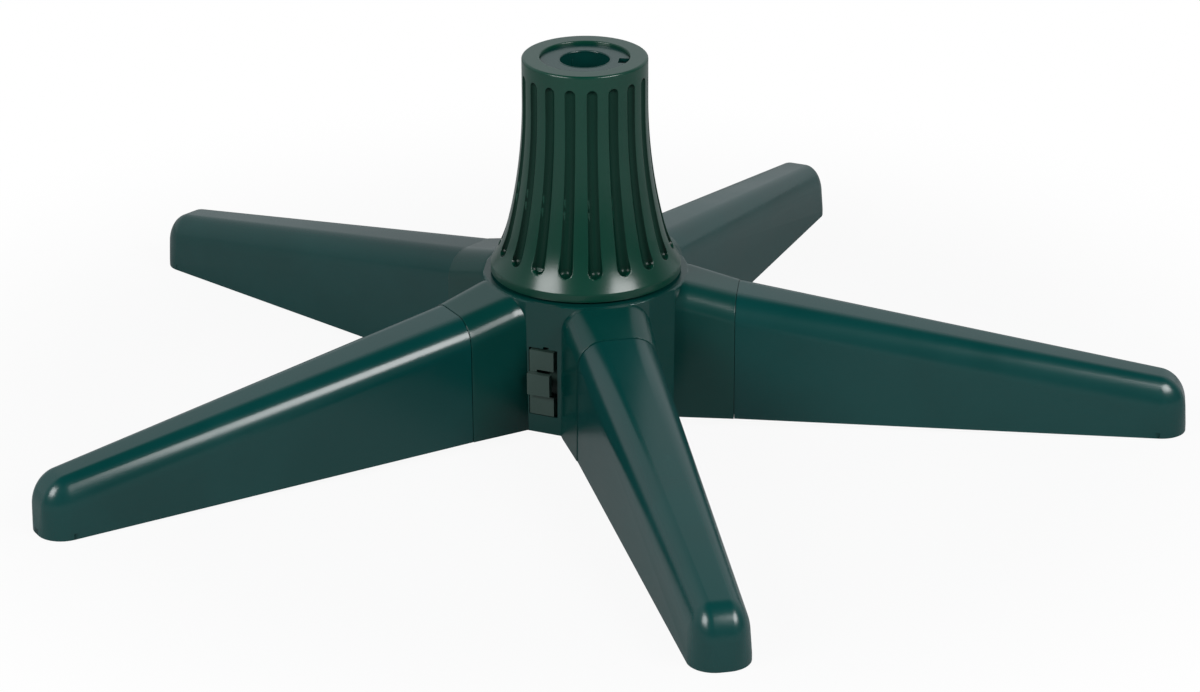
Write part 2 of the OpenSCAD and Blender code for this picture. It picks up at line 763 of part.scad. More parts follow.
module motor_pinion()
    color(nylon_white)
    at(motor_azimuth, shaft_r, pinion_z)
    difference() {
        rotate([0, 0, 90 + 180/pinion_teeth]) linear_extrude(pinion_t) polygon(gear_outline(pinion_teeth));
        difference() {
            translate([0, 0, -cut]) cylinder(d = shaft_d + 2*fit_gap, h = pinion_t + 2*cut);
            translate([-shaft_d, shaft_d/2 - shaft_flat + fit_gap, -2*cut]) cube([2*shaft_d, shaft_d, pinion_t + 4*cut]);
        }
    }

module keys(grow)
    for (i = [0:key_count - 1])
        at(i*360/key_count, 0, 0)
            translate([-key_w/2 - grow, -tube_out_r - key_h - grow, 0]) cube([key_w + 2*grow, key_h + 1 + grow, gear_t]);

module drive_gear()
    color(nylon_white)
    translate([0, 0, gear_z])
    difference() {
        rotate([0, 0, motor_azimuth - 90]) linear_extrude(gear_t) polygon(gear_outline(gear_teeth));
        translate([0, 0, -cut]) cylinder(r = tube_out_r + fit_gap, h = gear_t + 2*cut);
        translate([0, 0, -cut]) scale([1, 1, 1.5]) keys(fit_gap);
    }

module gear_ring()
    color(steel)
    translate([0, 0, gear_z - ring_t])
    difference() {
        cylinder(r = tube_out_r + ring_out, h = ring_t);
        translate([0, 0, -cut]) cylinder(r = tube_out_r - ring_groove + fit_gap, h = ring_t + 2*cut);
        translate([-ring_gap_w/2, 0, -cut]) cube([ring_gap_w, tube_out_r + ring_out + cut, ring_t + 2*cut]);
    }

// ---- Thrust bearing ----

// Half section of a race ring with its groove upwards
module race_outline()
    difference() {
        translate([race_in_r, 0]) square([race_w, race_t]);
        translate([ball_circle_r, race_t + groove_r - groove_depth]) circle(groove_r);
    }

module lower_race()
    color(steel)
    translate([0, 0, deck_z]) rotate_extrude() race_outline();

module upper_race()
    color(steel)
    translate([0, 0, turntable_z]) mirror([0, 0, 1]) rotate_extrude() race_outline();

module bearing_balls()
    color(steel)
    for (i = [0:ball_count - 1]) at(i*360/ball_count, ball_circle_r, ball_z) sphere(d = ball_d);

module ball_cage()
    color(nylon_white)
    difference() {
        translate([0, 0, ball_z - cage_t/2]) tube(race_out_r - cage_margin, race_in_r + cage_margin, cage_t);
        for (i = [0:ball_count - 1])
            at(i*360/ball_count, ball_circle_r, ball_z - cage_t) cylinder(r = groove_r, h = 2*cage_t);
    }

// ---- Turning parts ----

module spindle_outline() {
    // journal pin and floor
    translate([0, pin_z]) square([pin_d/2, tube_z - pin_z + cut]);
    translate([0, tube_z]) square([tube_out_r, tube_floor]);
    // tube, shoulder above the gear, and turntable
    translate([tube_r, tube_z]) square([tube_t, flange_z - tube_z]);
    translate([tube_r, gear_top]) square([tube_t + shoulder_w, shoulder_h]);
    translate([tube_r, turntable_z]) square([turntable_r - tube_r, turntable_t]);
}

module gusset_outline() {
    root = sink - tube_out_r;
    end = gusset_setback - turntable_r;
    polygon([[root, -sink], [end, -sink], [end, gusset_end_h], [root, gusset_h]]);
}

module spindle()
    color(inner_grey)
    difference() {
        union() {
            difference() {
                rotate_extrude() spindle_outline();
                // grooves for the retaining ring and the clip
                translate([0, 0, gear_z - ring_t]) tube(tube_out_r + 5, tube_out_r - ring_groove, ring_t);
                translate([0, 0, clip_z]) tube(pin_d, pin_d/2 - clip_groove, clip_t);
            }
            translate([0, 0, gear_z]) keys(0);
            // gussets between tube and turntable
            for (i = [0:gusset_count - 1])
                at((i + 0.5)*360/gusset_count, 0, turntable_top)
                    rotate([90, 0, 90]) translate([0, 0, -gusset_t/2]) linear_extrude(gusset_t) gusset_outline();
        }
        for (a = collar_screw_azimuths)
            at(a, collar_screw_r, turntable_z - cut) cylinder(d = pass_d, h = turntable_t + 2*cut);
    }

module pin_clip()
    color(steel)
    translate([0, 0, clip_z])
    difference() {
        cylinder(r = pin_d/2 - clip_groove + clip_w, h = clip_t);
        translate([0, 0, -cut]) cylinder(r = pin_d/2 - clip_groove + fit_gap, h = clip_t + 2*cut);
        translate([-pin_d/4, 0, -cut]) cube([pin_d/2, pin_d, clip_t + 2*cut]);
    }

// Half section inside the collar's outer face, set in by t, and run down below the foot by down
module collar_area(t, down = 0) {
    bend_z = flare_z - t*sin(flare_angle);
    translate([0, neck_z]) square([neck_r - t, stand_h - neck_z]);
    difference() {
        translate([0, bend_z]) square([foot_r, neck_z - bend_z]);
        translate([neck_r + flare_r, neck_z]) circle(flare_r + t, $fn = curve_fn);
    }
    difference() {
        translate([0, collar_z - down]) square([foot_r - t, bend_z - collar_z + down]);
        translate([flare_end_r + skirt_r*cos(flare_angle), flare_z + skirt_r*sin(flare_angle)]) circle(skirt_r + t);
    }
}

module collar_outline()
    difference() {
        collar_area(0);
        // round the rim's outer edge
        translate([neck_r - rim_edge, stand_h - rim_edge])
            difference() {
                square(2*rim_edge);
                circle(rim_edge);
            }
        // and the edge of the adaptor's seat
        translate([seat_r + seat_edge, stand_h - seat_edge])
            difference() {
                translate([-2*seat_edge, 0]) square(2*seat_edge);
                circle(seat_edge);
            }
        intersection() {
            collar_area(collar_wall, cut);
            square([foot_r, flange_z - seat_t]);
        }
        square([tube_out_r + fit_gap, stand_h + cut]);
        translate([0, flange_z]) square([seat_r, stand_h]);
    }

// A flute's cutter is a round bar with round ends that follows the wall. It is made in three
// stretches: straight along the neck, bent along the flare, and the round foot end.
module flute_top() {
    translate([flute_axis_r, 0, flute_bend_z]) cylinder(r = flute_r, h = flute_top_z - flute_bend_z);
    translate([flute_axis_r, 0, flute_top_z])
        rotate_extrude() intersection() {
            circle(flute_r);
            square(flute_r);
        }
}

module flute_bend()
    translate([flute_axis_r + flute_path_r, 0, flute_bend_z]) rotate([90, 0, 0]) rotate([0, 0, 180])
        rotate_extrude(angle = flute_angle, $fn = curve_fn) translate([flute_path_r, 0]) circle(flute_r);

module flute_foot()
    translate([flute_axis_r + flute_path_r, 0, flute_bend_z]) rotate([90, 0, 0]) rotate([0, 0, 180 + flute_angle])
        translate([flute_path_r, 0, 0]) sphere(flute_r);

module round_flutes()
    for (i = [0:flute_count - 1]) rotate([0, 0, flute_azimuth - 90 + i*360/flute_count]) children();

module collar()
    color(shell_green)
    difference() {
        union() {
            difference() {
                difference() {
                    difference() {
                        // turned so that its seam lies in the first flute
                        rotate([0, 0, flute_azimuth - 90]) rotate_extrude() collar_outline();
                        round_flutes() flute_bend();
                    }
                    round_flutes() flute_top();
                }
                round_flutes() flute_foot();
            }
            // screw bosses, kept inside the wall
            intersection() {
                for (a = collar_screw_azimuths)
                    at(a, collar_screw_r, turntable_top) cylinder(d = boss_d, h = collar_boss_h);
                rotate_extrude() collar_area(collar_wall/2);
            }
        }
        for (a = collar_screw_azimuths)
            at(a, collar_screw_r, turntable_top - cut) cylinder(d = hole_d, h = screw_l - turntable_t + cut + 1);
        // slots in the seat for the adaptor's lugs, and the seat's share of the finger notch
        for (a = lug_azimuths)
            at(a) translate([-lug_w/2 - run_gap, -seat_r, flange_z - lug_h - run_gap]) cube([lug_w + 2*run_gap, seat_r - tube_out_r + 1, lug_h + cut]);
        at(notch_azimuth) translate([-notch_w/2, -seat_r, flange_z - seat_t - cut])
            cube([notch_w, notch_l - 2, seat_t + 2*cut]);
    }

module collar_screws()
    color(steel)
    for (a = collar_screw_azimuths) at(a, collar_screw_r, turntable_z) screw();

module pole_adaptor()
    color(shell_green)
    difference() {
        union() {
            translate([0, 0, flange_z]) cylinder(d = flange_d, h = flange_t);
            translate([0, 0, sleeve_z]) cylinder(r = sleeve_out_r, h = flange_z - sleeve_z + 1);
            for (i = [0:fin_count - 1])
                at(notch_azimuth + 45 + i*360/fin_count) translate([-fin_t/2, -fin_r, sleeve_z + fin_up])
                    cube([fin_t, fin_r - sleeve_r - 1, flange_z - sleeve_z - fin_up + 1]);
            for (a = lug_azimuths)
                at(a) translate([-lug_w/2, -flange_d/2 + sink, flange_z - lug_h])
                    cube([lug_w, flange_d/2 - sink - tube_out_r - run_gap, lug_h + 1]);
        }
        translate([0, 0, sleeve_z - cut]) cylinder(r = sleeve_r, h = stand_h - sleeve_z);
        at(notch_azimuth) translate([-notch_w/2, -flange_d, flange_z - cut])
            cube([notch_w, flange_d/2 + notch_l, flange_t + 2*cut]);
    }

// ---- Switch and cord inlet ----

module switch_plate()
    color(leg_green)
    at(switch_azimuth)
    difference() {
        union() {
            translate([plate_x - plate_w/2, -flat_r - plate_proud, window_z - plate_h/2])
                cube([plate_w, flat_r + plate_proud - pad_face_r + 0.5, plate_h]);
            translate([flange_x - flange_w/2, -pad_face_r, window_z - flange_h/2])
                cube([flange_w, switch_flange_t, flange_h]);
        }
        // the slider's slot, open to the right of the plate, and its way through the flange
        translate([slot_x, -hub_r - plate_proud - cut, window_z - slot_h/2])
            cube([plate_w, hub_r + plate_proud + cut - pad_face_r, slot_h]);
        translate([slot_x, -pad_face_r - cut, window_z - slot_h/2])
            cube([slot_w, switch_flange_t + 2*cut, slot_h]);
        for (side = [-1, 1])
            translate([flange_x, -pad_face_r + switch_flange_t + cut, window_z + side*switch_screw_z])
                rotate([90, 0, 0]) cylinder(d = pass_d, h = switch_flange_t + 2*cut);
    }

module switch_body()
    color(inner_grey)
    at(switch_azimuth)
    difference() {
        translate([flange_x - body_w/2, -pad_face_r + switch_flange_t, window_z - body_h/2]) cube([body_w, body_t, body_h]);
        translate([slot_x, -pad_face_r + switch_flange_t - cut, window_z - slot_h/2])
            cube([slot_w, cavity_t + cut, slot_h]);
    }

module switch_screws()
    color(steel)
    at(switch_azimuth)
    for (side = [-1, 1])
        translate([flange_x, -pad_face_r + switch_flange_t, window_z + side*switch_screw_z])
            rotate([90, 0, 0]) {
                translate([0, 0, -head_h]) cylinder(d = head_d, h = head_h);
                cylinder(d = screw_d, h = switch_flange_t + 2.6);
            }

module switch_slider()
    color(leg_green)
    at(switch_azimuth) {
        face = flat_r + plate_proud + run_gap;
        translate([block_x - block_w/2, -face - block_t, window_z - block_h/2]) cube([block_w, block_t, block_h]);
        translate([slot_x + run_gap, -face - 0.5, window_z - neck_h_z/2])
            cube([neck_w, face + 0.5 - pad_face_r + switch_flange_t + cavity_t - 1, neck_h_z]);
    }

module cord_gland()
    color(rubber_black)
    at(180, 0, gland_z) rotate([90, 0, 0])
    difference() {
        union() {
            translate([0, 0, flat_r]) cylinder(d = gland_d, h = gland_flange_t);
            translate([0, 0, gland_inner - gland_nut_t - 2]) cylinder(r = gland_r, h = flat_r - gland_inner + gland_nut_t + 3);
        }
        translate([0, 0, gland_inner - gland_nut_t - 4]) cylinder(d = gland_bore, h = hub_r);
    }

module gland_nut()
    color(rubber_black)
    at(180, 0, gland_z) rotate([90, 0, 0]) translate([0, 0, gland_inner - gland_nut_t])
    difference() {
        cylinder(d = gland_nut_d, h = gland_nut_t, $fn = 6);
        translate([0, 0, -cut]) cylinder(r = gland_r + fit_gap, h = gland_nut_t + 2*cut);
    }

hub_housing();
base_plate();
base_screws();
chassis_plate();
chassis_screws();
lower_bush();
gear_motor();
motor_screws();
lower_race();
switch_plate();
switch_body();
switch_screws();
cord_gland();
gland_nut();
motor_shaft();
motor_pinion();
ball_cage();
bearing_balls();
spindle();
drive_gear();
gear_ring();
pin_clip();
upper_race();
collar();
collar_screws();
pole_adaptor();
switch_slider();
leg_1();
leg_2();
leg_3();
leg_4();
leg_5();
foot_pad_1();
foot_pad_2();
foot_pad_3();
foot_pad_4();
foot_pad_5();
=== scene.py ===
"""Dresses the rotating christmas tree stand: finishes, fine surfaces, studio and camera.

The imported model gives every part's place. This file adds the finely shaped outer surfaces of
the mouldings, gives each part its finish, and sets up the plain studio that it stands in.
Sizes are in millimetres unless a name ends in _m, and azimuths are in degrees round the axis
of rotation: 0 is the front leg's direction, -Y, and 90 is +X.
"""

from __future__ import annotations

import logging
import math
from dataclasses import astuple, dataclass
from enum import Enum
from typing import Mapping, Sequence

import bmesh
import bpy
from bmesh.types import BMesh
from bpy.types import ID, Material, Node, NodeSocket, NodeTree, Object, ShaderNodeTree
from mathutils import Matrix, Vector


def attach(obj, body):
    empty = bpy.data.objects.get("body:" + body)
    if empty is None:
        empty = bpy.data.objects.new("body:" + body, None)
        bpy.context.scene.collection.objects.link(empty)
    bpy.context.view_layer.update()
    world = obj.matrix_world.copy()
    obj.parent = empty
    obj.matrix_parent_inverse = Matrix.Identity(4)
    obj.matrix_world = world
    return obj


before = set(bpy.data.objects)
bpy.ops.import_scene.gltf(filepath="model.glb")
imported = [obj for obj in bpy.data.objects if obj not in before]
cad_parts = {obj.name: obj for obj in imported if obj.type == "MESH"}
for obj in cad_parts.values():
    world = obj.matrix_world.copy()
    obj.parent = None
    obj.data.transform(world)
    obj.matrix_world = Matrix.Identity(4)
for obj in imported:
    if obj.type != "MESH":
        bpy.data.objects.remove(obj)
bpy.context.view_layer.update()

LOG = logging.getLogger("stand")
MM = 0.001
LEG_COUNT = 5
LEG_STEP = 360 / LEG_COUNT
FLUTE_DEPTH = "flute_depth"
WHITE = (1.0, 1.0, 1.0, 1.0)
BLACK = (0.0, 0.0, 0.0, 1.0)

Pair = tuple[float, float]
Point = tuple[float, float, float]
Ring = list[Point]
Colour = tuple[float, float, float]
Ends = tuple[float, float, float, float]
Inputs = Mapping[str | int, object]


class Body(str, Enum):
    """Names of the rigid bodies that dressed pieces ride on, other than the legs."""

    BASE = "base"
    ROTOR = "rotor"
    ADAPTOR = "adaptor"


class Slot(str, Enum):
    """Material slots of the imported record."""

    SHELL = "shell"
    LEG_SHELL = "leg_shell"


class Socket(str, Enum):
    """Kinds of a group's sockets."""

    NUMBER = "NodeSocketFloat"
    COLOUR = "NodeSocketColor"


# --- Shader nodes ---


def fill(tree: NodeTree, node: Node, inputs: Inputs) -> None:
    """Links or sets a node's inputs.

    Args:
        tree: the node tree.
        node: the node.
        inputs: for each input, the socket that it is linked to or its constant.
    """
    for key, value in inputs.items():
        if isinstance(value, NodeSocket):
            tree.links.new(value, node.inputs[key])
        else:
            node.inputs[key].default_value = value


def add_node(tree: NodeTree, kind: str, inputs: Inputs | None = None, **settings: object) -> Node:
    """Adds a node, sets its properties and fills its inputs.

    Args:
        tree: the node tree.
        kind: the node's type.
        inputs: as in fill.
        **settings: properties by name.

    Returns:
        The new node.
    """
    node = tree.nodes.new(kind)
    for key, value in settings.items():
        setattr(node, key, value)
    fill(tree, node, inputs or {})
    return node


def find_node(tree: NodeTree, kind: str) -> Node:
    """Finds the tree's node of a kind."""
    return next(node for node in tree.nodes if node.type == kind)


def reckon(tree: NodeTree, operation: str, *values: object) -> NodeSocket:
    """Adds a sum of sockets and constants."""
    return add_node(tree, "ShaderNodeMath", dict(enumerate(values)), operation=operation).outputs["Value"]


def smooth_range(tree: NodeTree, value: NodeSocket, ends: Ends) -> NodeSocket:
    """Adds a smooth step. The ends are where it starts and stops, then the results there."""
    inputs = {"Value": value, **dict(zip(("From Min", "From Max", "To Min", "To Max"), ends))}
    return add_node(tree, "ShaderNodeMapRange", inputs, interpolation_type="SMOOTHSTEP").outputs["Result"]


def between(tree: NodeTree, share: NodeSocket, low: object, high: object) -> NodeSocket:
    """Adds a number part of the way from one to another."""
    inputs = {"Value": share, "To Min": low, "To Max": high}
    return add_node(tree, "ShaderNodeMapRange", inputs).outputs["Result"]


def blend(tree: NodeTree, share: NodeSocket, first: object, second: object) -> NodeSocket:
    """Adds a colour part of the way from one to another."""
    inputs = {"Factor": share, "A": first, "B": second}
    return add_node(tree, "ShaderNodeMix", inputs, data_type="RGBA").outputs["Result"]


def shown_rays(tree: NodeTree, in_gloss: float) -> NodeSocket:
    """Adds a mask of the rays that show the background: the camera's, gloss and glass.

    Args:
        tree: the node tree.
        in_gloss: how much of it gloss shows.

    Returns:
        The mask's socket.
    """
    path = add_node(tree, "ShaderNodeLightPath").outputs
    gloss = smooth_range(tree, path["Is Glossy Ray"], (0.0, 1.0, 0.0, in_gloss))
    seen = reckon(tree, "MAXIMUM", path["Is Camera Ray"], gloss)
    return reckon(tree, "MAXIMUM", seen, path["Is Transmission Ray"])


class GroupBuilder:
    """Builds one shader node group with named inputs and outputs."""

    def __init__(self, name: str, takes: Inputs, gives: Mapping[str, Socket]) -> None:
        """Starts a group.

        Args:
            name: the group's name.
            takes: each input with its default, which is a number or a colour.
            gives: each output with its kind.
        """
        self.tree = bpy.data.node_groups.new(name, "ShaderNodeTree")
        for key, value in takes.items():
            kind = Socket.COLOUR if isinstance(value, tuple) else Socket.NUMBER
            socket = self.tree.interface.new_socket(key, in_out="INPUT", socket_type=kind.value)
            socket.default_value = value
        for key, kind in gives.items():
            self.tree.interface.new_socket(key, in_out="OUTPUT", socket_type=kind.value)
        self.takes = self.tree.nodes.new("NodeGroupInput").outputs
        self.outputs = self.tree.nodes.new("NodeGroupOutput")

    def finish(self, **results: NodeSocket) -> ShaderNodeTree:
        """Links the outputs and gives the finished group."""
        fill(self.tree, self.outputs, results)
        return self.tree


SURFACE = {"Height": Socket.NUMBER, "Colour": Socket.COLOUR, "Roughness": Socket.NUMBER}


def moulded_texture_group() -> ShaderNodeTree:
    """Builds the fine eroded texture and the slow flow marks of an injection moulding.

    Returns:
        A group that takes a grain size, two colours and two roughnesses, and gives a surface.
    """
    colours = {"Base Colour": (0.02, 0.08, 0.06, 1), "Flow Colour": (0.03, 0.1, 0.08, 1)}
    roughness = {"Roughness Low": 0.25, "Roughness High": 0.35}
    takes = {"Grain Scale": 900.0, "Flow Scale": 9.0, **colours, **roughness}
    group = GroupBuilder("moulded_texture", takes, SURFACE)
    tree, given = group.tree, group.takes
    place = add_node(tree, "ShaderNodeTexCoord").outputs["Object"]
    fine = {"Vector": place, "Scale": given["Grain Scale"], "Detail": 3.0, "Roughness": 0.6}
    slow = {"Vector": place, "Scale": given["Flow Scale"], "Detail": 4.0, "Roughness": 0.55}
    grain = add_node(tree, "ShaderNodeTexNoise", fine)
    flow = add_node(tree, "ShaderNodeTexNoise", {**slow, "Distortion": 0.4})
    share = smooth_range(tree, flow.outputs["Fac"], (0.35, 0.65, 0.0, 1.0))
    return group.finish(
        Height=grain.outputs["Fac"],
        Colour=blend(tree, share, given["Base Colour"], given["Flow Colour"]),
        Roughness=between(tree, share, given["Roughness Low"], given["Roughness High"]),
    )


def brushed_lines_group() -> ShaderNodeTree:
    """Builds the fine turning marks of machined or drawn steel.

    Returns:
        A group that takes a scale and two colours, and gives a surface.
    """
    takes = {"Line Scale": 400.0, "Base Colour": (0.5, 0.5, 0.5, 1), "Dull Colour": (0.35, 0.35, 0.36, 1)}
    group = GroupBuilder("brushed_lines", takes, SURFACE)
    tree, given = group.tree, group.takes
    place = add_node(tree, "ShaderNodeTexCoord").outputs["Object"]
    squeezed = add_node(tree, "ShaderNodeMapping", {"Vector": place, "Scale": (0.05, 0.05, 1.0)})
    noise = {"Vector": squeezed.outputs["Vector"], "Scale": given["Line Scale"], "Detail": 5.0}
    lines = add_node(tree, "ShaderNodeTexNoise", noise).outputs["Fac"]
    return group.finish(
        Height=lines,
        Colour=blend(tree, lines, given["Base Colour"], given["Dull Colour"]),
        Roughness=between(tree, lines, 0.22, 0.42),
    )


def flute_painted_shade_group() -> ShaderNodeTree:
    """Builds painted shade in the flutes and a duller inside, from the depth that the mesh carries.

    Returns:
        A group that takes the plain colour and roughness, and gives a surface with a coat.
    """
    plain = {"Colour": (0.02, 0.08, 0.06, 1), "Roughness": 0.3}
    takes = {**plain, "Shade": 0.5, "Dulling": 0.2, "Coat Outside": 0.76, "Coat Inside": 0.24}
    group = GroupBuilder("flute_shade", takes, {**SURFACE, "Coat": Socket.NUMBER})
    tree, given = group.tree, group.takes
    carried = add_node(tree, "ShaderNodeAttribute", attribute_type="GEOMETRY", attribute_name=FLUTE_DEPTH)
    depth = carried.outputs["Fac"]
    inside = smooth_range(tree, depth, (0.0, 0.20, 0.0, 1.0))
    return group.finish(
        Height=reckon(tree, "MULTIPLY", depth, -1.0),
        # Painted shade: inside the flutes the colour is blended towards black, where real shade would fall.
        Colour=blend(tree, reckon(tree, "MULTIPLY", inside, given["Shade"]), given["Colour"], BLACK),
        Roughness=reckon(tree, "MULTIPLY_ADD", inside, given["Dulling"], given["Roughness"]),
        Coat=between(tree, inside, given["Coat Outside"], given["Coat Inside"]),
    )


# --- Finishes ---


def new_material(name: str) -> tuple[Material, Node]:
    """Makes a material with one Principled BSDF.

    Args:
        name: the material's name.

    Returns:
        The material and its Principled BSDF.
    """
    material = bpy.data.materials.new(name)
    material.use_nodes = True
    return material, find_node(material.node_tree, "BSDF_PRINCIPLED")


@dataclass(frozen=True)
class Finish:
    """A material whose colour, roughness and relief come from one node group.

    Attributes:
        name: the material's name.
        colour: its colour, linear.
        marked_colour: its colour in the flow marks or along the lines.
    """

    name: str
    colour: Colour
    marked_colour: Colour

    def wear(self, group: ShaderNodeTree, inputs: Inputs, relief: Pair, constants: Inputs) -> Material:
        """Builds the material round its node group.

        Args:
            group: the group, which gives Height, Colour and Roughness.
            inputs: the group's inputs other than the base colour.
            relief: the bump's strength, and its distance in metres.
            constants: constants of the Principled BSDF.

        Returns:
            The finished material.
        """
        material, shader = new_material(self.name)
        tree = material.node_tree
        inputs = {"Base Colour": (*self.colour, 1.0), **inputs}
        surface = add_node(tree, "ShaderNodeGroup", inputs, node_tree=group).outputs
        strength, distance = relief
        height = {"Strength": strength, "Distance": distance, "Height": surface["Height"]}
        normal = add_node(tree, "ShaderNodeBump", height).outputs["Normal"]
        colour, roughness = surface["Colour"], surface["Roughness"]
        fill(tree, shader, {"Base Color": colour, "Roughness": roughness, "Normal": normal, **constants})
        return material


@dataclass(frozen=True)
class MouldedPlastic(Finish):
    """Injection-moulded plastic: one colour with slow flow marks, and a fine texture.

    Attributes:
        roughness: roughness where the surface is glossiest and dullest.
        grain_scale: how fine the texture is.
        grain_depth: strength of the texture's bump.
        specular: specular level.
        grain_m: height of the texture.
    """

    roughness: Pair = (0.20, 0.26)
    grain_scale: float = 900.0
    grain_depth: float = 0.05
    specular: float = 0.5
    grain_m: float = 0.0002

    def make(self, texture: ShaderNodeTree) -> Material:
        """Builds the material.

        Args:
            texture: the moulded texture's node group.

        Returns:
            The finished material.
        """
        inputs = {
            "Grain Scale": self.grain_scale,
            "Flow Colour": (*self.marked_colour, 1.0),
            "Roughness Low": self.roughness[0],
            "Roughness High": self.roughness[1],
        }
        relief = (self.grain_depth, self.grain_m)
        return self.wear(texture, inputs, relief, {"Specular IOR Level": self.specular})


@dataclass(frozen=True)
class FlutedPlastic(MouldedPlastic):
    """Moulded plastic with painted shade inside the flutes, which are also duller.

    Attributes:
        painted_shade: how strongly the painted shade darkens a flute's inside.
        dulling: how much rougher it is.
        edge_m: depth of the bump that sharpens a flute's edges.
        coat_roughness: roughness of the gloss outside the flutes.
    """

    painted_shade: float = 0.40
    dulling: float = 0.2
    edge_m: float = 0.0008
    coat_roughness: float = 0.22

    def make_fluted(self, texture: ShaderNodeTree, painted_shade: ShaderNodeTree) -> Material:
        """Builds the material.

        Args:
            texture: the moulded texture's node group.
            painted_shade: the node group of the flutes' painted shade.

        Returns:
            The finished material.
        """
        material = self.make(texture)
        tree = material.node_tree
        plain = find_node(tree, "GROUP").outputs
        inputs = {key: plain[key] for key in ("Colour", "Roughness")}
        # The flute group paints shade into the colour inside the flutes.
        inputs |= {"Shade": self.painted_shade, "Dulling": self.dulling}
        flute = add_node(tree, "ShaderNodeGroup", inputs, node_tree=painted_shade).outputs
        worn = {"Base Color": flute["Colour"], "Roughness": flute["Roughness"], "Coat Weight": flute["Coat"]}
        fill(tree, find_node(tree, "BSDF_PRINCIPLED"), {**worn, "Coat Roughness": self.coat_roughness})
        grain = find_node(tree, "BUMP")
        edge = add_node(tree, "ShaderNodeBump", {"Distance": self.edge_m, "Height": flute["Height"]})
        fill(tree, grain, {"Normal": edge.outputs["Normal"]})
        return material


@dataclass(frozen=True)
class WorkedSteel(Finish):
    """Drawn or turned steel with fine lines.

    Attributes:
        line_scale: how fine the lines are.
        line_depth: strength of the lines' bump.
        line_m: height of the lines.
    """

    line_scale: float = 400.0
    line_depth: float = 0.08
    line_m: float = 0.0001

    def make(self, lines: ShaderNodeTree) -> Material:
        """Builds the material from the brushed lines' node group."""
        inputs = {"Line Scale": self.line_scale, "Dull Colour": (*self.marked_colour, 1.0)}
        return self.wear(lines, inputs, (self.line_depth, self.line_m), {"Metallic": 1.0})


@dataclass(frozen=True)
class Finishes:
    """Every finish of the stand."""

    collar: Material
    adaptor: Material
    hub: Material
    leg: Material
    switch: Material
    inner: Material
    nylon: Material
    rubber: Material
    steel: Material
    can: Material

    @classmethod
    def build(cls) -> Finishes:
        """Builds the node groups and the materials, each once.

        Returns:
            The finishes.
        """
        texture = moulded_texture_group()
        lines = brushed_lines_group()
        # The collar's flutes get painted shade from the flute group.
        collar = FlutedPlastic(
            "collar_green", (0.0008, 0.037, 0.0225), (0.0014, 0.043, 0.0265), (0.30, 0.36), 700.0, 0.10, 0.08
        )
        new = MouldedPlastic
        plastics = {
            "adaptor": new("adaptor_green", (0.0008, 0.030, 0.026), (0.0014, 0.035, 0.031), specular=0.65),
            "hub": new("hub_green", (0.0008, 0.036, 0.031), (0.0014, 0.041, 0.036)),
            "leg": new("leg_green", (0.0008, 0.040, 0.0375), (0.0014, 0.046, 0.0435)),
            "switch": new("switch_green", (0.030, 0.060, 0.050), (0.036, 0.066, 0.056), (0.40, 0.48)),
            "inner": new("inner_grey", (0.05, 0.052, 0.055), (0.06, 0.062, 0.066), (0.45, 0.55), 600.0, 0.15),
            "nylon": new("natural_nylon", (0.72, 0.70, 0.62), (0.66, 0.63, 0.54), (0.38, 0.48)),
            "rubber": new(
                "black_rubber", (0.012, 0.012, 0.013), (0.018, 0.018, 0.019), (0.62, 0.75), 500.0, 0.25
            ),
        }
        steels = {
            "steel": WorkedSteel("zinc_steel", (0.56, 0.57, 0.58), (0.40, 0.41, 0.42)),
            "can": WorkedSteel("drawn_can", (0.50, 0.51, 0.52), (0.36, 0.37, 0.38), 250.0),
        }
        return cls(
            collar=collar.make_fluted(texture, flute_painted_shade_group()),
            **{name: plastic.make(texture) for name, plastic in plastics.items()},
            **{name: steel.make(lines) for name, steel in steels.items()},
        )


def dress(node: str, finish: Material) -> None:
    """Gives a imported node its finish.

    Args:
        node: the node's name.
        finish: the material for all its slots.
    """
    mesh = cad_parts[node].data
    if not mesh.materials:
        mesh.materials.append(finish)
    for index in range(len(mesh.materials)):
        mesh.materials[index] = finish
    LOG.info("finish %s on %s", finish.name, node)


def mount_piece(piece: Object, body: str, finish: Material) -> None:
    """Gives a new piece its finish and lets it ride on a body.

    Args:
        piece: the new object.
        body: the body that it moves with.
        finish: its material.
    """
    piece.data.materials.append(finish)
    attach(piece, body)
    LOG.info("piece %s rides on %s with %d faces", piece.name, body, len(piece.data.polygons))


# --- Mesh helpers ---


def add_object(name: str, data: ID) -> Object:
    """Adds an object to the scene.

    Args:
        name: the object's name.
        data: its mesh, lamp or camera.

    Returns:
        The new object.
    """
    made = bpy.data.objects.new(name, data)
    bpy.context.scene.collection.objects.link(made)
    return made


def to_object(name: str, work: BMesh, sharp_deg: float) -> Object:
    """Turns a working mesh in millimetres into a smooth-shaded object in metres.

    Args:
        name: the object's name.
        work: the working mesh, freed here.
        sharp_deg: edges that turn more than this stay sharp.

    Returns:
        The new object.
    """
    bmesh.ops.scale(work, vec=(MM, MM, MM), verts=work.verts)
    for face in work.faces:
        face.smooth = True
    limit = math.radians(sharp_deg)
    for edge in work.edges:
        if len(edge.link_faces) == 2:
            edge.smooth = edge.calc_face_angle(0.0) < limit
    mesh = bpy.data.meshes.new(name)
    work.to_mesh(mesh)
    work.free()
    return add_object(name, mesh)


def for_each_leg(first: Object) -> list[Object]:
    """Repeats the front leg's piece at the other legs.

    Args:
        first: the front piece, whose name ends in 1.

    Returns:
        All the pieces, in the legs' order.
    """
    pieces = [first]
    for number in range(2, LEG_COUNT + 1):
        piece = add_object(f"{first.name.removesuffix('1')}{number}", first.data.copy())
        piece.data.transform(Matrix.Rotation(math.radians(LEG_STEP * (number - 1)), 4, "Z"))
        pieces.append(piece)
    return pieces


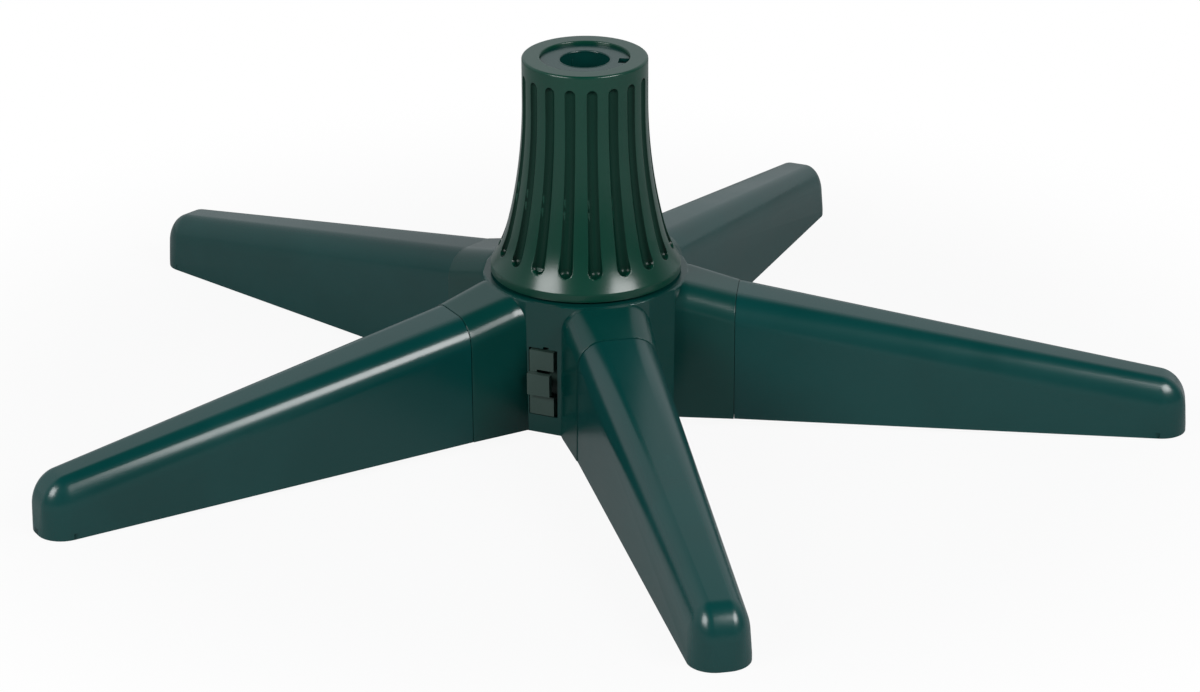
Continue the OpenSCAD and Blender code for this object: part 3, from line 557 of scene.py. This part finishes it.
def skin_rings(work: BMesh, rings: Sequence[Ring], closed: bool) -> None:
    """Joins successive rings of points with quads.

    Args:
        work: the working mesh.
        rings: rings with the same number of points.
        closed: whether each ring closes on itself.
    """
    rows = [[work.verts.new(point) for point in ring] for ring in rings]
    count = len(rows[0])
    for lower, upper in zip(rows, rows[1:]):
        for i in range(count if closed else count - 1):
            j = (i + 1) % count
            work.faces.new((lower[i], lower[j], upper[j], upper[i]))


def at_azimuth(radius: float, turn: float, z: float) -> Point:
    """Gives the point at a radius, an azimuth in radians and a height."""
    return (radius * math.sin(turn), -radius * math.cos(turn), z)


def full_turn(count: int) -> list[float]:
    """Gives angles all the way round, in radians."""
    return [2 * math.pi * i / count for i in range(count)]


def quarter_turn(steps: int) -> list[float]:
    """Gives angles from 0 to a right angle, in radians."""
    return [math.radians(90 * i / steps) for i in range(steps + 1)]


# --- Arms and legs ---


@dataclass(frozen=True)
class ArchSection:
    """Cross-section of an arm: leaning sides, round shoulders and a flat crown.

    Attributes:
        half_width: half the width at the shoulders.
        top: height of the crown above the floor.
        shoulder: radius of the shoulders.
        bottom: height of the lower edge.
        draft: lean of the sides, outwards for each millimetre down.
    """

    half_width: float
    top: float
    shoulder: float
    bottom: float
    draft: float = 0.012

    def inset(self, by: float) -> ArchSection:
        """Gives the section set in from its surface."""
        return ArchSection(self.half_width - by, self.top - by, self.shoulder - by, self.bottom, self.draft)

    def mixed(self, other: ArchSection, share: float) -> ArchSection:
        """Gives the section part of the way to another one."""
        sizes = zip(astuple(self), astuple(other))
        return ArchSection(*[own + (far - own) * share for own, far in sizes])

    def outline(self, steps: int, crown_steps: int = 4, side_steps: int = 4) -> list[Pair]:
        """Gives the outline's points from the right foot over the crown to the left foot.

        Args:
            steps: points along each shoulder.
            crown_steps: points along half the flat crown.
            side_steps: points along each side.

        Returns:
            Points (across, up).
        """
        w, t, c, b = self.half_width, self.top, self.shoulder, self.bottom
        foot = w + self.draft * (t - c - b)
        right: list[Pair] = []
        for i in range(side_steps):
            share = i / side_steps
            right.append((foot + (w - foot) * share, b + (t - c - b) * share))
        for a in quarter_turn(steps):
            right.append((w - c * (1 - math.cos(a)), t - c * (1 - math.sin(a))))
        for i in range(1, crown_steps):
            right.append(((w - c) * (1 - i / crown_steps), t))
        return right + [(0.0, t)] + [(-x, z) for x, z in reversed(right)]


@dataclass
class StubArms:
    """The five stub arms that are moulded with the hub.

    Attributes:
        root_r: where the surface starts, inside the drum's wall.
        level_r: where its taper starts.
        seam_r: where it ends, at the seam.
        root: section at the drum.
        seam: section at the seam.
        rim_radius: rounding of the rim at the seam.
        wall: thickness of the wall, seen at the seam.
        proud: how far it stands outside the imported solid.
        shoulder_steps: points along each shoulder.
        taper_steps: rings along the taper.
        rim_steps: rings round the rim.
    """

    root_r: float = 60.0
    level_r: float = 66.0
    seam_r: float = 99.0
    root: ArchSection = ArchSection(28.6, 96.8, 16.5, 7.3)
    seam: ArchSection = ArchSection(26.4, 88.4, 17.4, 6.39)
    rim_radius: float = 0.45
    wall: float = 3.0
    proud: float = 0.03
    shoulder_steps: int = 24
    taper_steps: int = 12
    rim_steps: int = 5

    def ring(self, r: float, section: ArchSection) -> Ring:
        """Places a section's outline at a distance from the axis."""
        return [(x, -r, z) for x, z in section.outline(self.shoulder_steps)]

    def build(self) -> Object:
        """Builds the front arm's outer surface.

        Returns:
            The new object.
        """
        root, seam = self.root.inset(-self.proud), self.seam.inset(-self.proud)
        rings = [self.ring(self.root_r, root), self.ring(self.level_r, root)]
        end = self.seam_r - self.rim_radius
        length = self.seam_r - self.level_r
        for i in range(1, self.taper_steps + 1):
            share = i / self.taper_steps * (end - self.level_r) / length
            rings.append(self.ring(self.level_r + length * share, root.mixed(seam, share)))
        last = root.mixed(seam, (end - self.level_r) / length)
        for a in quarter_turn(self.rim_steps)[1:]:
            inset = last.inset(self.rim_radius * (1 - math.cos(a)))
            rings.append(self.ring(end + self.rim_radius * math.sin(a), inset))
        rings.append(self.ring(self.seam_r, last.inset(self.wall)))
        work = bmesh.new()
        skin_rings(work, rings, closed=False)
        return to_object("stub_arm_surface_1", work, sharp_deg=60.0)

    def dress(self, finish: Material) -> None:
        """Builds all five and lets them ride on the hub."""
        for piece in for_each_leg(self.build()):
            mount_piece(piece, Body.BASE.value, finish)


@dataclass
class LegShells:
    """The outer surfaces of the five plug-in legs.

    Attributes:
        reach: distance from the axis to the tip of the toe.
        start_r: where a leg starts, just outside the seam.
        straight: length over which it keeps the seam's section.
        seam: section at the seam.
        toe_width: width of the toe.
        toe_top: height of the toe.
        toe_shoulder: radius of the toe's shoulders.
        toe_round: height of the rounding at the front.
        toe_nose: length of that rounding.
        toe_corner: radius of the corners, seen from above.
        toe_rake: lean of the front.
        foot_z: height of the toe's lower edge.
        foot_band: height of its upright lower part.
        proud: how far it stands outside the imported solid.
        seam_steps: points along the seam section's shoulders, half crown and sides.
        round_steps: points round the toe's corners.
        dome_steps: rings up the toe's shoulders.
        open_normals: how far down and inward the normals point where it stays open.
    """

    reach: float = 391.0
    start_r: float = 99.3
    straight: float = 1.0
    seam: ArchSection = ArchSection(26.0, 88.0, 17.4, 6.39)
    toe_width: float = 37.8
    toe_top: float = 39.7
    toe_shoulder: float = 13.5
    toe_round: float = 22.6
    toe_nose: float = 19.5
    toe_corner: float = 16.8
    toe_rake: float = 0.8
    foot_z: float = 0.8
    foot_band: float = 4.0
    proud: float = 0.03
    seam_steps: tuple[int, int, int] = (40, 6, 1)
    round_steps: int = 96
    dome_steps: int = 24
    open_normals: Pair = (0.9, 0.99)

    def form_points(self) -> list[Point]:
        """Gives the points whose convex hull is the leg's outer form.

        Returns:
            Points of the front leg.
        """
        outline = self.seam.inset(-self.proud).outline(*self.seam_steps)
        places = (self.start_r, self.start_r + self.straight)
        points = [(x, -r, z) for r in places for x, z in outline]
        lean = self.seam.draft * self.toe_top
        for side in (-1, 1):
            cx = side * (self.toe_width / 2 + lean - self.toe_corner)
            cy = self.toe_corner - self.reach
            for a in full_turn(self.round_steps):
                x, y = cx + self.toe_corner * math.cos(a), cy + self.toe_corner * math.sin(a)
                points.extend([(x, y, self.foot_z), (x, y, self.foot_z + self.foot_band)])
            cx = side * (self.toe_width / 2 - self.toe_shoulder)
            cy = self.toe_nose + self.toe_rake - self.reach
            cz = self.toe_top - self.toe_round
            across, along, tall = (r + self.proud for r in (self.toe_shoulder, self.toe_nose, self.toe_round))
            for up in quarter_turn(self.dome_steps):
                for a in full_turn(self.round_steps):
                    x, y = across * math.cos(a), along * math.sin(a)
                    points.append((cx + x * math.cos(up), cy + y * math.cos(up), cz + tall * math.sin(up)))
        return points

    def build(self) -> Object:
        """Builds the front leg's outer surface, open below and at the seam.

        Returns:
            The new object.
        """
        work = bmesh.new()
        for point in self.form_points():
            work.verts.new(point)
        bmesh.ops.convex_hull(work, input=work.verts)
        inside = [v for v in work.verts if not v.link_faces]
        bmesh.ops.delete(work, geom=inside, context="VERTS")
        bmesh.ops.recalc_face_normals(work, faces=work.faces)
        down, inward = self.open_normals
        hidden = [f for f in work.faces if f.normal.z < -down or f.normal.y > inward]
        bmesh.ops.delete(work, geom=hidden, context="FACES")
        return to_object("leg_surface_1", work, sharp_deg=50.0)

    def dress(self, finish: Material) -> None:
        """Builds all five and lets each ride on its own leg."""
        for number, piece in enumerate(for_each_leg(self.build()), start=1):
            mount_piece(piece, f"leg_{number}", finish)


# --- Collar and adaptor ---


def arc_radius(height: float, out: float) -> float:
    """Gives the radius of an arc that starts upright and runs out over a height."""
    return (height * height + out * out) / (2 * out)


@dataclass
class FlutedCollar:
    """The outer surface of the turning collar, with its flutes and softened edges.

    Attributes:
        rim_z: height of the rim.
        foot_z: height of its lower edge.
        neck_r: radius of the neck.
        neck_z: where the flare starts.
        flare_out: how far the long flare runs out.
        flare_z: where the long flare ends.
        foot_r: radius of the foot.
        foot_lip: width of the lower edge.
        band_z: top of the straight band round the foot.
        rim_edge: rounding of the rim.
        foot_edge: rounding of the foot's lower edge.
        seat_r: radius of the seat in the rim.
        seat_edge: rounding of the seat's edge.
        flutes: number of flutes.
        first_azimuth: azimuth of the first flute.
        cutter_r: radius of the round cutter.
        depth: depth of a flute at its top.
        path_out: how far the cutter runs out on its way down.
        bend_z: where that path starts to bend.
        top_z: height of a flute's top end's centre.
        bottom_z: height of its foot end's centre.
        edge_soft: softening of the flutes' edges.
        proud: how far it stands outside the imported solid.
        edge_steps: rings round each softened edge.
        columns: columns across half a flute, and across half the land beside it.
        land_spread: how strongly the second crowd to the flute.
        narrowest: least spread of a flute's columns, as a share of the widest.
        fine_rows: their middle's distance from a flute end's centre, and their reach.
        row_steps: distances of the fine rows and of the others.
        skirt_rows: rows between the band and the long flare.
    """

    rim_z: float = 243.0
    foot_z: float = 98.6
    neck_r: float = 40.4
    neck_z: float = 215.0
    flare_out: float = 10.2
    flare_z: float = 130.0
    foot_r: float = 61.75
    foot_lip: float = 3.0
    band_z: float = 103.6
    rim_edge: float = 1.5
    foot_edge: float = 0.7
    seat_r: float = 28.9
    seat_edge: float = 0.8
    flutes: int = 18
    first_azimuth: float = -5.4
    cutter_r: float = 4.9
    depth: float = 1.6
    path_out: float = 12.6
    bend_z: float = 218.0
    top_z: float = 230.0
    bottom_z: float = 117.0
    edge_soft: float = 0.22
    proud: float = 0.05
    edge_steps: int = 5
    columns: tuple[int, int] = (9, 7)
    land_spread: float = 1.6
    narrowest: float = 0.35
    fine_rows: Pair = (2.5, 3.2)
    row_steps: Pair = (0.3, 1.6)
    skirt_rows: int = 24

    def wall_radius(self, z: float) -> float:
        """Gives the radius of the plain wall.

        Args:
            z: the height.

        Returns:
            The radius there.
        """
        if z >= self.neck_z:
            return self.neck_r
        flare_r = arc_radius(self.neck_z - self.flare_z, self.flare_out)
        lean = math.asin((self.neck_z - self.flare_z) / flare_r)
        end_r = self.neck_r + self.flare_out
        if z >= self.flare_z:
            return self.neck_r + flare_r - math.sqrt(flare_r**2 - (self.neck_z - z) ** 2)
        rise = self.flare_z - self.band_z
        skirt = 2 * math.atan((self.foot_r - end_r) / rise) - lean
        skirt_r = rise / (math.sin(skirt) - math.sin(lean))
        if z >= self.band_z:
            centre_r = end_r + skirt_r * math.cos(lean)
            centre_z = self.flare_z + skirt_r * math.sin(lean)
            return centre_r - math.sqrt(skirt_r**2 - (centre_z - z) ** 2)
        return self.foot_r

    def cutter(self, z: float) -> Pair:
        """Gives the cutter's distance from the axis and its radius at a height.

        Args:
            z: the height.

        Returns:
            The distance of its centre, and its radius there, 0 where it doesn't reach.
        """
        centre = self.neck_r + self.cutter_r - self.depth
        if z < self.bend_z:
            path_r = arc_radius(self.bend_z - self.bottom_z, self.path_out)
            centre += path_r - math.sqrt(path_r**2 - (self.bend_z - max(z, self.bottom_z)) ** 2)
        beyond = max(z - self.top_z, self.bottom_z - z, 0.0)
        if beyond >= self.cutter_r:
            return centre, 0.0
        return centre, math.sqrt(self.cutter_r**2 - beyond**2)

    def half_angle(self, z: float) -> float:
        """Gives half the angle that a flute takes up.

        Args:
            z: the height.

        Returns:
            The angle in radians, 0 where there is no flute.
        """
        centre, radius = self.cutter(z)
        wall = self.wall_radius(z)
        if radius <= 0:
            return 0.0
        cosine = (centre**2 + wall**2 - radius**2) / (2 * centre * wall)
        return math.acos(cosine) if abs(cosine) < 1 else 0.0

    def cut_radius(self, z: float, turn: float) -> float:
        """Gives the radius of the fluted surface at a height and a turn from a flute's middle.

        Args:
            z: the height.
            turn: the turn in radians.

        Returns:
            The radius, with the flute's edge softened.
        """
        wall = self.wall_radius(z)
        centre, radius = self.cutter(z)
        inner = radius**2 - (centre * math.sin(turn)) ** 2
        if radius <= 0 or inner <= 0:
            return wall
        groove = centre * math.cos(turn) - math.sqrt(inner)
        share = min(max(0.5 + 0.5 * (groove - wall) / self.edge_soft, 0.0), 1.0)
        return groove * (1 - share) + wall * share - self.edge_soft * share * (1 - share)

    def turns(self, z: float, widest: float) -> list[float]:
        """Gives the turns of one flute's columns, closest together at its edges.

        Args:
            z: the height.
            widest: the widest half angle that a flute reaches.

        Returns:
            Turns from -sector/2 to just under +sector/2, in radians.
        """
        half_sector = math.pi / self.flutes
        edge = max(self.half_angle(z), self.narrowest * widest)
        across, land = self.columns
        inside = [edge * math.sin(math.pi / 2 * i / across) for i in range(across + 1)]
        outside = [edge + (half_sector - edge) * (i / land) ** self.land_spread for i in range(1, land + 1)]
        right = inside + outside
        return [-t for t in reversed(right[1:])] + right[:-1]

    def heights(self) -> list[float]:
        """Gives the rows' heights.

        Returns:
            Heights from the foot up, closest together round the ends of the flutes.
        """
        rows: set[float] = set()
        shift, reach = self.fine_rows
        ends = (self.top_z + shift, self.bottom_z - shift)
        fine, coarse = self.row_steps
        z = self.foot_z + self.foot_edge
        while z < self.rim_z - self.rim_edge:
            rows.add(round(z, 3))
            z += fine if min(abs(z - end) for end in ends) < reach else coarse
        for i in range(self.skirt_rows):
            rows.add(round(self.band_z + (self.flare_z - self.band_z) * i / self.skirt_rows, 3))
        rows.add(self.rim_z - self.rim_edge)
        return sorted(rows)

    def placed(self, ring: Sequence[Pair], z: float) -> Ring:
        """Repeats one sector's columns, each a radius and a turn, round the axis."""
        middles = [math.radians(self.first_azimuth + 360 / self.flutes * n) for n in range(self.flutes)]
        return [at_azimuth(radius, middle + turn, z) for middle in middles for radius, turn in ring]

    def build(self) -> Object:
        """Builds the outer surface from the rim's seat to the foot.

        Returns:
            The new object, whose points carry their depth in a flute.
        """
        rows = self.heights()
        widest = max(self.half_angle(z) for z in rows)

        def plain(radius: float, z: float, like: float) -> Ring:
            """Gives a round ring with the columns of the row at height like."""
            return self.placed([(radius, t) for t in self.turns(like, widest)], z)

        low, high = rows[0], rows[-1]
        bends = [(math.sin(a), math.cos(a)) for a in quarter_turn(self.edge_steps)]
        rings = [plain(self.foot_r - self.foot_lip, self.foot_z - self.proud, low)]
        for sine, cosine in bends[:-1]:
            edge = self.foot_r - self.foot_edge * (1 - sine) + self.proud
            rings.append(plain(edge, self.foot_z + self.foot_edge * (1 - cosine), low))
        for z in rows:
            ring = [(self.cut_radius(z, t) + self.proud, t) for t in self.turns(z, widest)]
            rings.append(self.placed(ring, z))
        for sine, cosine in bends[1:]:
            edge = self.neck_r - self.rim_edge * (1 - cosine) + self.proud
            rings.append(plain(edge, self.rim_z - self.rim_edge * (1 - sine), high))
        seat: list[Ring] = []
        for sine, cosine in bends:
            edge = self.seat_r - self.proud + self.seat_edge * (1 - sine)
            seat.append(plain(edge, self.rim_z - self.seat_edge * (1 - cosine), high))
        work = bmesh.new()
        skin_rings(work, rings, closed=True)
        skin_rings(work, seat, closed=True)
        piece = to_object("collar_surface", work, sharp_deg=80.0)
        carried = piece.data.attributes.new(FLUTE_DEPTH, "FLOAT", "POINT")
        carried.data.foreach_set("value", [self.depth_at(v.co / MM) for v in piece.data.vertices])
        return piece

    def depth_at(self, point: Vector) -> float:
        """Gives how deep a point lies under the plain wall, 0 outside the flutes."""
        cut = self.bottom_z - self.cutter_r < point.z < self.top_z + self.cutter_r
        return max(self.wall_radius(point.z) + self.proud - math.hypot(point.x, point.y), 0.0) if cut else 0.0

    def dress(self, finish: Material) -> None:
        """Builds the surface and lets it ride on the turning parts."""
        mount_piece(self.build(), Body.ROTOR.value, finish)


@dataclass
class AdaptorTrim:
    """The rolled edge round the adaptor's bore, and the grip rib inside it.

    Attributes:
        bore_r: radius of the bore.
        top_z: height of the adaptor's top.
        roll: radius of the rolled edge.
        roll_arc: lean at which its section starts, and its whole angle.
        roll_steps: steps along its section.
        proud: how far the rolled edge stands out of the top and into the bore.
        columns: columns round the bore.
        rib_azimuth: azimuth of the rib.
        rib_width: its width.
        rib_proud: how far it stands out of the bore's wall.
        rib_sunk: how far its edges lie inside the wall.
        rib_drop: its distance from the top.
        rib_length: its length.
        rib_fullness: how suddenly it ends.
        rib_steps: steps along it, and across half of it.
    """

    bore_r: float = 16.1
    top_z: float = 240.8
    roll: float = 0.8
    roll_arc: Pair = (-50.0, 190.0)
    roll_steps: int = 12
    proud: float = 0.2
    columns: int = 96
    rib_azimuth: float = 197.8
    rib_width: float = 1.9
    rib_proud: float = 0.5
    rib_sunk: float = 0.05
    rib_drop: float = 4.2
    rib_length: float = 24.0
    rib_fullness: int = 8
    rib_steps: tuple[int, int] = (12, 4)

    def roll_rings(self) -> list[Ring]:
        """Gives the rolled edge's rings.

        Returns:
            Closed rings from under the adaptor's top to behind the bore's wall.
        """
        inset = self.roll - self.proud
        start, whole = self.roll_arc
        rings: list[Ring] = []
        for i in range(self.roll_steps + 1):
            lean = math.radians(start + whole * i / self.roll_steps)
            radius = self.bore_r + inset - self.roll * math.sin(lean)
            z = self.top_z - inset + self.roll * math.cos(lean)
            rings.append([at_azimuth(radius, turn, z) for turn in full_turn(self.columns)])
        return rings

    def rib_rings(self) -> list[Ring]:
        """Gives the rib's rounded sections, which run out into the wall at its ends.

        Returns:
            Open rings from the top down.
        """
        rings: list[Ring] = []
        middle = math.radians(self.rib_azimuth)
        along, half = self.rib_steps
        for i in range(along + 1):
            share = i / along
            z = self.top_z - self.rib_drop - self.rib_length * share
            size = math.sqrt(max(1 - abs(2 * share - 1) ** self.rib_fullness, 0.0))
            rings.append([])
            for k in range(-half, half + 1):
                across = k / half
                rise = self.rib_proud * size * math.sqrt(max(1 - across * across, 0.0))
                turn = middle + across * size * self.rib_width / 2 / self.bore_r
                rings[-1].append(at_azimuth(self.bore_r + self.rib_sunk - rise, turn, z))
        return rings

    def dress(self, finish: Material) -> None:
        """Builds both and lets them ride on the adaptor.

        Args:
            finish: the adaptor's finish.
        """
        for name, rings, closed in (
            ("bore_rolled_edge", self.roll_rings(), True),
            ("bore_grip_rib", self.rib_rings(), False),
        ):
            work = bmesh.new()
            skin_rings(work, rings, closed)
            bmesh.ops.remove_doubles(work, verts=work.verts, dist=0.001)
            piece = to_object(name, work, sharp_deg=80.0)
            mount_piece(piece, Body.ADAPTOR.value, finish)


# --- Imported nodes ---


@dataclass
class PackedParts:
    """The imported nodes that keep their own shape, by the finish that they wear."""

    finishes: Finishes

    def wardrobe(self) -> list[tuple[Material, str]]:
        """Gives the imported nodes' finishes.

        Returns:
            Each finish with the names of its nodes.
        """
        f = self.finishes
        legs = range(1, LEG_COUNT + 1)
        return [
            (f.collar, "collar"),
            (f.adaptor, "pole_adaptor"),
            (f.hub, "hub_housing base_plate"),
            (f.switch, "switch_plate switch_slider"),
            (f.inner, "switch_body chassis_plate spindle gland_nut"),
            (f.nylon, "lower_bush motor_pinion drive_gear ball_cage"),
            (f.steel, "base_screws chassis_screws motor_screws switch_screws collar_screws"),
            (f.steel, "motor_shaft lower_race upper_race bearing_balls gear_ring pin_clip"),
            (f.can, "gear_motor"),
            (f.leg, " ".join(f"leg_{n}" for n in legs)),
            (f.rubber, "cord_gland " + " ".join(f"foot_pad_{n}" for n in legs)),
        ]

    def dress(self) -> None:
        """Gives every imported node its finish."""
        table = {node: finish for finish, nodes in self.wardrobe() for node in nodes.split()}
        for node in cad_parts:
            dress(node, table[node])


# --- Studio ---


def direction(azimuth: float, elevation: float) -> Vector:
    """Gives the direction of an azimuth and an elevation, in degrees."""
    a, e = math.radians(azimuth), math.radians(elevation)
    return Vector((math.sin(a) * math.cos(e), -math.cos(a) * math.cos(e), math.sin(e)))


@dataclass(frozen=True)
class SoftBox:
    """A square studio lamp.

    Attributes:
        name: the lamp's name.
        azimuth: its direction round the stand.
        elevation: its height in degrees.
        power: its power in watts.
        distance_m: its distance from the aim point.
        width_m: its width.
        height_m: its height.
    """

    name: str
    azimuth: float
    elevation: float
    power: float
    distance_m: float = 2.6
    width_m: float = 1.25
    height_m: float = 1.0

    def build(self, aim: Vector) -> None:
        """Hangs the lamp.

        Args:
            aim: the point that it faces.
        """
        data = bpy.data.lights.new(self.name, "AREA")
        data.shape = "RECTANGLE"
        data.size = self.width_m
        data.size_y = self.height_m
        data.energy = self.power
        lamp = add_object(self.name, data)
        back = direction(self.azimuth, self.elevation)
        lamp.location = aim + back * self.distance_m
        lamp.rotation_euler = (-back).to_track_quat("-Z", "Y").to_euler()
        LOG.info("lamp %s", self.name)


@dataclass
class Studio:
    """Plain pale floor, white surroundings, soft lamps and the camera.

    Attributes:
        camera_m: the camera's place.
        azimuth: direction that the camera looks from.
        elevation: how far it looks down.
        roll: its turn about its own line of sight.
        lens: focal length for the sensor.
        sensor: width of the sensor.
        clip_m: how far the camera sees.
        floor_m: side of the floor.
        floor_colour: colour of the floor, linear.
        floor_roughness: roughness of the floor.
        wall_depths: how the surroundings brighten from front to back.
        wall_heights: how they darken from the wall's top upwards.
        wall_light: how strongly the wall lights the stand.
        wall_in_gloss: how much of the wall's white the gloss shows.
        air_tint: the colour of the wall's light.
        floor_in_gloss: how much of the floor's white the gloss shows.
        white_share: how the floor turns white away from the stand.
        aim_m: the point that the lamps face.
        boxes: the lamps.
    """

    camera_m: Point = (-0.532184, -2.564299, 1.163809)
    azimuth: float = -11.92066
    elevation: float = 23.18407
    roll: float = -0.21248
    lens: float = 130.61997
    sensor: float = 36.0
    clip_m: float = 100.0
    floor_m: float = 40.0
    floor_colour: Colour = (0.40, 0.41, 0.42)
    floor_roughness: float = 0.9
    wall_depths: Ends = (-0.2, 0.5, 0.22, 1.0)
    wall_heights: Ends = (0.68, 0.92, 1.0, 0.03)
    wall_light: float = 0.40
    wall_in_gloss: float = 0.38
    air_tint: Colour = (0.90, 0.97, 1.0)
    floor_in_gloss: float = 0.06
    white_share: Ends = (0.30, 0.62, 0.93, 1.0)
    aim_m: Point = (0.0, 0.0, 0.08)
    boxes: tuple[SoftBox, ...] = (
        SoftBox("box_left", -62.0, 31.0, 44.0),
        SoftBox("box_right", 38.0, 37.0, 50.0),
    )

    def build_world(self) -> None:
        """Makes the surroundings: a white wall behind the stand, and dark overhead and in front.

        The camera sees the wall plain white. Gloss sees it dimmer, and its light is faintly blue.
        """
        world = bpy.data.worlds.new("studio_air")
        bpy.context.scene.world = world
        world.use_nodes = True
        tree = world.node_tree
        tree.nodes.clear()
        place = add_node(tree, "ShaderNodeTexCoord").outputs["Generated"]
        axes = add_node(tree, "ShaderNodeSeparateXYZ", {"Vector": place}).outputs
        behind = smooth_range(tree, axes["Y"], self.wall_depths)
        overhead = smooth_range(tree, axes["Z"], self.wall_heights)
        shown = smooth_range(tree, shown_rays(tree, self.wall_in_gloss), (0.0, 1.0, self.wall_light, 1.0))
        strength = reckon(tree, "MULTIPLY", reckon(tree, "MULTIPLY", behind, overhead), shown)
        seen = add_node(tree, "ShaderNodeLightPath").outputs["Is Camera Ray"]
        tint = blend(tree, seen, (*self.air_tint, 1.0), WHITE)
        air = add_node(tree, "ShaderNodeBackground", {"Color": tint, "Strength": strength})
        add_node(tree, "ShaderNodeOutputWorld", {"Surface": air.outputs["Background"]})

    def build_floor(self) -> None:
        """Lays the plain pale floor, which keeps the shadow and turns white away from the stand."""
        mesh = bpy.data.meshes.new("studio_floor")
        h = self.floor_m / 2
        mesh.from_pydata([(-h, -h, 0), (h, -h, 0), (h, h, 0), (-h, h, 0)], [], [(0, 1, 2, 3)])
        floor = add_object("studio_floor", mesh)
        material, shader = new_material("floor_white")
        tree = material.node_tree
        matt = {"Roughness": self.floor_roughness, "Specular IOR Level": 0.0}
        fill(tree, shader, {"Base Color": (*self.floor_colour, 1.0), **matt})
        place = add_node(tree, "ShaderNodeTexCoord").outputs["Object"]
        away = add_node(tree, "ShaderNodeVectorMath", {0: place}, operation="LENGTH").outputs["Value"]
        share = smooth_range(tree, away, self.white_share)
        shown = reckon(tree, "MULTIPLY", share, shown_rays(tree, self.floor_in_gloss))
        white = add_node(tree, "ShaderNodeEmission", {"Color": WHITE, "Strength": 1.0})
        layers = {"Fac": shown, 1: shader.outputs["BSDF"], 2: white.outputs["Emission"]}
        mix = add_node(tree, "ShaderNodeMixShader", layers)
        fill(tree, find_node(tree, "OUTPUT_MATERIAL"), {"Surface": mix.outputs["Shader"]})
        mesh.materials.append(material)

    def build_camera(self) -> None:
        """Sets up the camera at the photograph's viewing angle."""
        data = bpy.data.cameras.new("photo_camera")
        data.sensor_fit = "HORIZONTAL"
        data.sensor_width = self.sensor
        data.lens = self.lens
        data.clip_end = self.clip_m
        camera = add_object("photo_camera", data)
        turn = (-direction(self.azimuth, self.elevation)).to_track_quat("-Z", "Y").to_matrix()
        turn = turn @ Matrix.Rotation(math.radians(self.roll), 3, "Z")
        camera.matrix_world = Matrix.Translation(Vector(self.camera_m)) @ turn.to_4x4()
        bpy.context.scene.camera = camera

    def build(self) -> None:
        """Builds the whole studio."""
        bpy.context.scene.view_settings.view_transform = "Standard"
        self.build_world()
        self.build_floor()
        self.build_camera()
        for box in self.boxes:
            box.build(Vector(self.aim_m))


def main() -> None:
    """Builds the studio and dresses every part in order."""
    logging.basicConfig(level=logging.INFO, format="%(name)s: %(message)s")
    Studio().build()
    finishes = Finishes.build()
    LOG.info("dressing the packed parts")
    PackedParts(finishes).dress()
    for builder, finish in (
        (FlutedCollar(), finishes.collar),
        (AdaptorTrim(), finishes.adaptor),
        (StubArms(), finishes.hub),
        (LegShells(), finishes.leg),
    ):
        LOG.info("dressing with %s", type(builder).__name__)
        builder.dress(finish)


if __name__ == "__main__":
    main()
